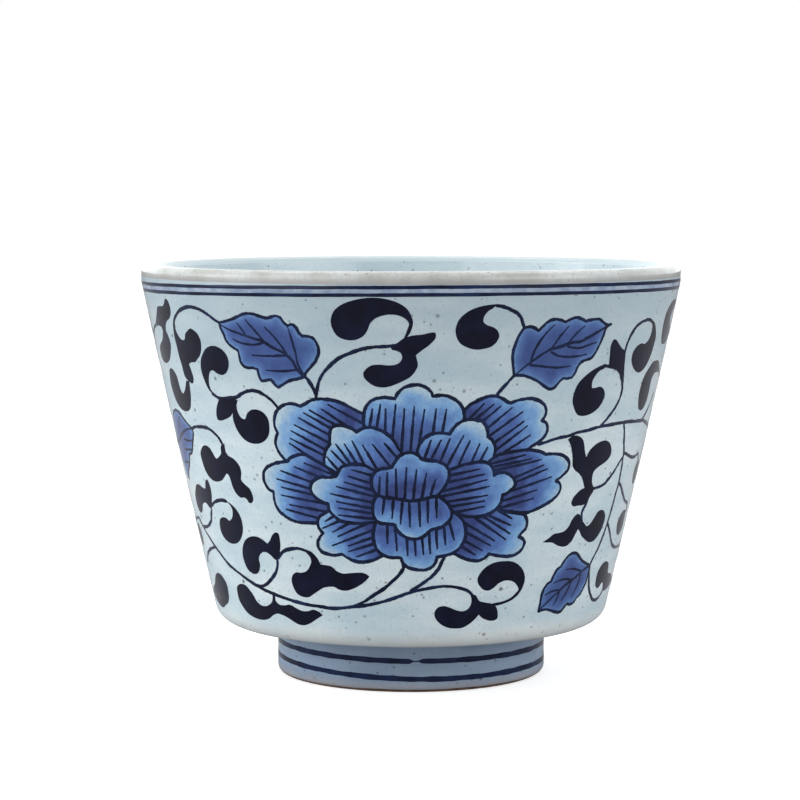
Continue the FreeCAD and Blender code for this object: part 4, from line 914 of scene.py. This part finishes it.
class Surface:
    """A node material under construction, with short names for the few nodes it needs."""

    def __init__(self, name, roughness):
        self.material = bpy.data.materials.new(name)
        self.material.use_nodes = True
        self.nodes = self.material.node_tree.nodes
        self.links = self.material.node_tree.links
        self.shader = self.nodes["Principled BSDF"]
        self.shader.inputs["Roughness"].default_value = roughness
        self.shader.inputs["Specular IOR Level"].default_value = 0.38
        self.where = self.nodes.new("ShaderNodeTexCoord").outputs["Object"]

    def put(self, socket, value):
        """Sets an input to a plain value or links it to another node's output."""
        if isinstance(value, bpy.types.NodeSocket):
            self.links.new(value, socket)
        else:
            socket.default_value = value

    def noise(self, size, detail=2.0, stretch=(1, 1, 1)):
        """Soft noise, 0 to 1, with features about this many mm across."""
        mapping = self.nodes.new("ShaderNodeMapping")
        mapping.inputs["Scale"].default_value = [s / (size * MM) for s in stretch]
        node = self.nodes.new("ShaderNodeTexNoise")
        node.inputs["Scale"].default_value = 1.0
        node.inputs["Detail"].default_value = detail
        self.put(mapping.inputs["Vector"], self.where)
        self.put(node.inputs["Vector"], mapping.outputs["Vector"])
        return node.outputs["Fac"]

    def dots(self, spacing, size, share):
        """1 inside small round dots of this size, mm, in a share of cells this far apart; 0 elsewhere."""
        node = self.nodes.new("ShaderNodeTexVoronoi")
        node.inputs["Scale"].default_value = 1 / (spacing * MM)
        self.put(node.inputs["Vector"], self.where)
        dot = self.between(node.outputs["Distance"], size / spacing, 0.4 * size / spacing)
        split = self.nodes.new("ShaderNodeSeparateColor")
        self.put(split.inputs[0], node.outputs["Color"])
        chosen = self.between(split.outputs[0], share, share - 0.02)
        return self.maths("MULTIPLY", dot, chosen)

    def between(self, value, low, high):
        """0 at low, 1 at high, straight between and clamped."""
        node = self.nodes.new("ShaderNodeMapRange")
        self.put(node.inputs["Value"], value)
        node.inputs["From Min"].default_value = low
        node.inputs["From Max"].default_value = high
        return node.outputs["Result"]

    def maths(self, operation, a, b):
        """One arithmetic step."""
        node = self.nodes.new("ShaderNodeMath")
        node.operation = operation
        self.put(node.inputs[0], a)
        self.put(node.inputs[1], b)
        return node.outputs[0]

    def mix(self, amount, a, b):
        """Colour a at 0 and colour b at 1."""
        node = self.nodes.new("ShaderNodeMix")
        node.data_type = "RGBA"
        self.put(node.inputs[0], amount)
        self.put(node.inputs[6], a)
        self.put(node.inputs[7], b)
        return node.outputs[2]

    def bump(self, height, depth):
        """Fine relief of this depth, mm."""
        node = self.nodes.new("ShaderNodeBump")
        node.inputs["Distance"].default_value = depth * MM
        self.put(node.inputs["Height"], height)
        self.put(self.shader.inputs["Normal"], node.outputs["Normal"])

    def height(self):
        """Height above the foot, mm."""
        split = self.nodes.new("ShaderNodeSeparateXYZ")
        self.put(split.inputs[0], self.where)
        return self.maths("DIVIDE", split.outputs["Z"], MM)

    def radius(self):
        """Distance from the cup's axis, mm."""
        flat = self.nodes.new("ShaderNodeVectorMath")
        flat.operation = "MULTIPLY"
        self.put(flat.inputs[0], self.where)
        flat.inputs[1].default_value = (1 / MM, 1 / MM, 0)
        length = self.nodes.new("ShaderNodeVectorMath")
        length.operation = "LENGTH"
        self.put(length.inputs[0], flat.outputs["Vector"])
        return length.outputs["Value"]

    def tone(self):
        """The piece's own light-to-dark value."""
        node = self.nodes.new("ShaderNodeAttribute")
        node.attribute_name = "tone"
        return node.outputs["Fac"]

    def finish(self, base):
        """Gives the shader its colour and returns the material."""
        self.put(self.shader.inputs["Base Color"], base)
        return self.material


GLAZE_BLUE = colour(194, 214, 222)
INSIDE_BLUE = colour(212, 226, 230)
SPECK = colour(54, 54, 62)


def glaze_material(name, pale, blue, *tints):
    """Pale blue glossy glaze, slightly clouded, with small iron specks and pinholes.

    Each tint is (from height, to height, amount, colour): the glaze takes on that colour between those heights,
    mm. Where a tint is painted light or shade, that is said where the tint is given.
    """
    s = Surface(name, 0.13)
    clouds = s.between(s.noise(11.0, 4.0, (1, 1, 2.5)), 0.36, 0.64)
    base = s.mix(clouds, blue, pale)
    streaks = s.between(s.noise(2.6, 3.0, (0.35, 0.35, 2.2)), 0.35, 0.7)
    base = s.mix(s.maths("MULTIPLY", streaks, 0.35), base, blue)
    grain = s.between(s.noise(0.42, 3.0), 0.35, 0.7)
    base = s.mix(s.maths("MULTIPLY", grain, 0.16), base, colour(150, 168, 184))
    large = s.dots(3.1, 0.42, 0.4)
    middling = s.dots(1.3, 0.24, 0.45)
    fine = s.dots(0.6, 0.13, 0.45)
    base = s.mix(s.maths("MULTIPLY", large, 0.8), base, SPECK)
    base = s.mix(s.maths("MULTIPLY", middling, 0.62), base, SPECK)
    base = s.mix(s.maths("MULTIPLY", fine, 0.4), base, SPECK)
    ragged = s.maths("ADD", s.height(), s.noise(2.0))
    for low, high, amount, tint in tints:
        base = s.mix(s.maths("MULTIPLY", s.between(ragged, low, high), amount), base, tint)
    pits = s.maths("ADD", large, middling)
    s.bump(s.maths("SUBTRACT", s.noise(1.6, 2.0), pits), 0.02)
    return s.finish(base)


def lip_material():
    """Thin glaze over the lip, where the warm clay shows through; it thickens to pale glaze inside. Its outer face
    darkens towards the rim line below as painted shade.
    """
    s = Surface("lip_glaze", 0.16)
    patches = s.between(s.noise(6.0, 4.0), 0.36, 0.64)
    base = s.mix(patches, colour(196, 199, 194), colour(226, 231, 230))
    fine = s.between(s.noise(0.5, 3.0), 0.48, 0.72)
    base = s.mix(s.maths("MULTIPLY", fine, 0.4), base, colour(162, 164, 157))
    specks = s.dots(1.3, 0.2, 0.5)
    base = s.mix(s.maths("MULTIPLY", specks, 0.7), base, colour(104, 92, 84))
    # Painted shade: the lower part of the lip's outer face is darkened towards the rim line.
    ragged = s.maths("ADD", s.height(), s.maths("MULTIPLY", s.noise(2.0), 0.5))
    lip_painted_shade = s.maths("MULTIPLY", s.between(ragged, 60.9, 59.6), 0.85)
    base = s.mix(lip_painted_shade, base, colour(152, 150, 150))
    base = s.mix(s.between(s.radius(), 38.7, 38.1), base, INSIDE_BLUE)
    s.bump(s.maths("SUBTRACT", s.noise(0.9, 3.0), specks), 0.02)
    return s.finish(base)


def clay_material():
    """Bare brown stoneware, dry and sandy."""
    s = Surface("stoneware", 0.75)
    patches = s.between(s.noise(1.8, 4.0), 0.35, 0.7)
    base = s.mix(patches, colour(92, 62, 48), colour(140, 108, 86))
    grit = s.dots(0.7, 0.14, 0.5)
    base = s.mix(s.maths("MULTIPLY", grit, 0.7), base, colour(48, 34, 30))
    s.bump(s.noise(0.35, 4.0), 0.06)
    return s.finish(base)


def cobalt_material(name, dark, light):
    """Thick cobalt under the gloss: nearly black, bluer where the brush was drier."""
    s = Surface(name, 0.16)
    s.shader.inputs["Specular IOR Level"].default_value = 0.2
    pools = s.between(s.noise(3.2, 3.0), 0.38, 0.72)
    base = s.mix(pools, dark, light)
    grain = s.between(s.noise(0.4, 3.0), 0.5, 0.8)
    base = s.mix(s.maths("MULTIPLY", grain, 0.35), base, light)
    s.bump(s.noise(1.6, 2.0), 0.018)
    return s.finish(base)


def wash_material(name, *shades):
    """Thin cobalt wash of (tone, colour) shades, pale to deep, clouded by the pigment."""
    s = Surface(name, 0.13)
    cloud = s.maths("MULTIPLY", s.maths("SUBTRACT", s.noise(2.4, 3.0), 0.5), 0.75)
    depth = s.maths("ADD", s.tone(), cloud)
    base = shades[0][1]
    for (low, _), (high, shade) in zip(shades, shades[1:]):
        base = s.mix(s.between(depth, low, high), base, shade)
    grain = s.between(s.noise(0.35, 2.0), 0.45, 0.8)
    base = s.mix(s.maths("MULTIPLY", grain, 0.25), base, shades[-1][1])
    s.bump(s.noise(1.6, 2.0), 0.018)
    return s.finish(base)


# ----------------------------------------------------------------------------------------------------------
# The cup


def build_cup():
    """Glaze coats, painted bands and the painting. The clay itself is the CAD bowl and foot ring."""
    clay = clay_material()
    for node in ("clay_bowl", "foot_ring"):
        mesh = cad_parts[node].data
        mesh.materials.clear()
        mesh.materials.append(clay)

    # Paler and warmer just above the shoulder: partly the glaze's own warm iron tint, partly painted light for the
    # floor's bounce and reflection on the shoulder's underside.
    warm_shoulder_and_painted_light = (11.5, 8.5, 0.6, colour(240, 238, 230))
    # The wall glaze turns greyer from about 34 mm up to the rim.
    grey_rim = (34.5, 60.5, 0.56, colour(132, 152, 164))
    glaze = glaze_material("pale_glaze", colour(220, 232, 235), GLAZE_BLUE, warm_shoulder_and_painted_light, grey_rim)
    inside = glaze_material("inner_glaze", INSIDE_BLUE, colour(197, 213, 220))
    thin_edge = (2.3, 0.9, 0.55, colour(168, 156, 146))
    # The foot's glaze is a darker copy of the wall glaze: partly thinner glaze, partly painted shade for the shadow
    # under the cup's overhang.
    foot = glaze_material("foot_glaze", colour(140, 159, 182), colour(126, 144, 167), thin_edge)
    lip_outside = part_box("lip_glaze")[0].z / MM
    lip_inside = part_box("inner_glaze")[1].z / MM
    glaze_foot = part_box("foot_glaze")[0].z / MM
    wall_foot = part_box("outer_glaze")[0].z / MM
    coat("base_glaze", 0.0, run_before_foot(glaze_foot), foot)
    coat("foot_glaze", outer_run(glaze_foot), outer_run(wall_foot), foot, start_wave=0.15)
    coat("outer_glaze", outer_run(wall_foot), outer_run(lip_outside), glaze)
    coat("lip_glaze", outer_run(lip_outside), run_after_lip(lip_inside), lip_material())
    coat("inner_glaze", run_after_lip(lip_inside), RUN[-1], inside)

    line = cobalt_material("cobalt_line", colour(12, 20, 44), colour(28, 42, 78))
    rim_shades = ((-0.1, colour(168, 181, 200)), (0.05, colour(136, 152, 178)), (0.3, colour(112, 129, 160)))
    wash = wash_material("rim_wash", *rim_shades)
    rim_sway = (-0.03, 0.2, -0.4)
    paint_band("rim_wash_band", wash, 30, rim_sway, spread=-0.02)
    paint_band("rim_line_upper", line, 40, rim_sway, shake=0.05)
    paint_band("rim_line_lower", line, 50, rim_sway, shake=0.05)
    paint_band("foot_line_upper", line, 60, (-0.2, -0.17, 0.2), 0.1, 0.06, skip=2.0)
    paint_band("foot_line_lower", line, 70, (0.04, -0.34, 0.52), shake=0.1, spread=0.06)

    scroll = cobalt_material("cobalt_scroll", colour(5, 7, 26), colour(14, 18, 46))
    petal_shades = (
        (0.0, colour(184, 207, 218)),
        (0.36, colour(120, 166, 214)),
        (0.68, colour(80, 112, 176)),
        (1.0, colour(50, 64, 120)),
    )
    petal = wash_material("petal_wash", *petal_shades)
    leaf_shades = ((-0.05, colour(104, 142, 188)), (0.5, colour(75, 104, 161)), (1.1, colour(56, 76, 132)))
    leaf = wash_material("leaf_wash", *leaf_shades)
    paint_pattern(
        {
            "vines": (line, "cobalt_line"),
            "scrolls": (scroll, "cobalt_line"),
            "leaf_washes": (leaf, "cobalt_wash"),
            "leaf_lines": (line, "cobalt_line"),
            "petal_washes": (petal, "cobalt_wash"),
            "petal_lines": (line, "cobalt_line"),
        }
    )


# ----------------------------------------------------------------------------------------------------------
# The studio


def split_by_camera(tree, seen, unseen):
    """A shader that looks one way to the camera and lights the cup another way."""
    path = tree.nodes.new("ShaderNodeLightPath")
    switch = tree.nodes.new("ShaderNodeMixShader")
    tree.links.new(path.outputs["Is Camera Ray"], switch.inputs[0])
    tree.links.new(unseen, switch.inputs[1])
    tree.links.new(seen, switch.inputs[2])
    return switch.outputs[0]


def pale_floor():
    """A pale floor without end; the light it throws back up is that of a darker table."""
    mesh = bpy.data.meshes.new("floor")
    size = 30.0
    mesh.from_pydata([(-size, -size, 0), (size, -size, 0), (size, size, 0), (-size, size, 0)], [], [(0, 1, 2, 3)])
    floor = bpy.data.objects.new("floor", mesh)
    bpy.context.scene.collection.objects.link(floor)
    s = Surface("floor", 0.9)
    s.put(s.shader.inputs["Emission Color"], (1, 1, 1, 1))
    s.put(s.shader.inputs["Emission Strength"], 0.6)
    mesh.materials.append(s.finish(s.mix(s.noise(400.0), (0.8, 0.8, 0.8, 1), (0.83, 0.83, 0.83, 1))))
    table = s.nodes.new("ShaderNodeBsdfDiffuse")
    table.inputs["Color"].default_value = (0.48, 0.48, 0.49, 1)
    tree = s.material.node_tree
    switch = split_by_camera(tree, s.shader.outputs[0], table.outputs[0])
    s.links.new(switch, s.nodes["Material Output"].inputs["Surface"])


def surroundings():
    """Soft white behind and to the left, dimmer in front and overhead; plain white where the camera sees it."""
    world = bpy.data.worlds.new("surroundings")
    bpy.context.scene.world = world
    world.use_nodes = True
    tree = world.node_tree
    split = tree.nodes.new("ShaderNodeSeparateXYZ")
    tree.links.new(tree.nodes.new("ShaderNodeTexCoord").outputs["Generated"], split.inputs[0])
    fade = tree.nodes.new("ShaderNodeMapRange")
    fade.inputs["From Min"].default_value = -0.85
    fade.inputs["From Max"].default_value = 0.1
    fade.inputs["To Min"].default_value = 0.24
    fade.inputs["To Max"].default_value = 1.4
    right = tree.nodes.new("ShaderNodeMath")
    right.operation = "MULTIPLY"
    right.inputs[1].default_value = 0.3
    tree.links.new(split.outputs["X"], right.inputs[0])
    away = tree.nodes.new("ShaderNodeMath")
    away.operation = "SUBTRACT"
    tree.links.new(split.outputs["Y"], away.inputs[0])
    tree.links.new(right.outputs[0], away.inputs[1])
    tree.links.new(away.outputs[0], fade.inputs["Value"])
    behind = tree.nodes.new("ShaderNodeMapRange")
    behind.inputs["From Min"].default_value = 0.2
    behind.inputs["From Max"].default_value = 0.8
    behind.inputs["To Max"].default_value = 0.4
    tree.links.new(split.outputs["Y"], behind.inputs["Value"])
    total = tree.nodes.new("ShaderNodeMath")
    tree.links.new(fade.outputs["Result"], total.inputs[0])
    tree.links.new(behind.outputs["Result"], total.inputs[1])
    light = tree.nodes["Background"]
    light.inputs["Color"].default_value = (0.97, 0.985, 1.0, 1)
    overhead = tree.nodes.new("ShaderNodeMapRange")
    overhead.inputs["To Min"].default_value = 1.0
    overhead.inputs["To Max"].default_value = 0.25
    tree.links.new(split.outputs["Z"], overhead.inputs["Value"])
    dimmed = tree.nodes.new("ShaderNodeMath")
    dimmed.operation = "MULTIPLY"
    tree.links.new(total.outputs[0], dimmed.inputs[0])
    tree.links.new(overhead.outputs["Result"], dimmed.inputs[1])
    tree.links.new(dimmed.outputs[0], light.inputs["Strength"])
    plain = tree.nodes.new("ShaderNodeBackground")
    plain.inputs["Color"].default_value = (1, 1, 1, 1)
    switch = split_by_camera(tree, plain.outputs[0], light.outputs[0])
    tree.links.new(switch, tree.nodes["World Output"].inputs["Surface"])


def soft_light(name, turn, rise, distance, width, height, brightness):
    """A soft box aimed at the cup: turn degrees round from the front, rise degrees up; sizes in mm."""
    lamp = bpy.data.lights.new(name, "AREA")
    lamp.shape = "RECTANGLE"
    lamp.size = width * MM
    lamp.size_y = height * MM
    lamp.energy = brightness * math.pi * lamp.size * lamp.size_y
    light = bpy.data.objects.new(name, lamp)
    flat = math.cos(math.radians(rise)) * distance
    middle = Vector((0, 0, 35))
    offset = Vector((math.sin(math.radians(turn)) * flat, -math.cos(math.radians(turn)) * flat, 0))
    offset.z = math.sin(math.radians(rise)) * distance
    light.location = (middle + offset) * MM
    light.rotation_euler = (-offset).to_track_quat("-Z", "Y").to_euler()
    light.visible_camera = False
    bpy.context.scene.collection.objects.link(light)


def camera():
    """The photograph's viewpoint: a long lens in front of the cup, looking a little down."""
    lens = bpy.data.cameras.new("camera")
    lens.lens = 117.33
    lens.sensor_width = 36.0
    lens.shift_x = -0.01375
    lens.clip_start = 0.01
    view = bpy.data.objects.new("camera", lens)
    view.location = (0, -388.76 * MM, 72.64 * MM)
    view.rotation_euler = (math.radians(90 - 4.726), 0, 0)
    bpy.context.scene.collection.objects.link(view)
    bpy.context.scene.camera = view


build_cup()
pale_floor()
surroundings()
soft_light("left_box", -62, 16, 700, 900, 520, 2.25)
soft_light("right_box", 54, 18, 800, 700, 500, 3.0)
soft_light("side_box", -94, 16, 800, 400, 400, 1.7)
soft_light("top_box", 180, 62, 800, 700, 300, 2.2)
camera()
bpy.context.scene.view_settings.view_transform = "Standard"
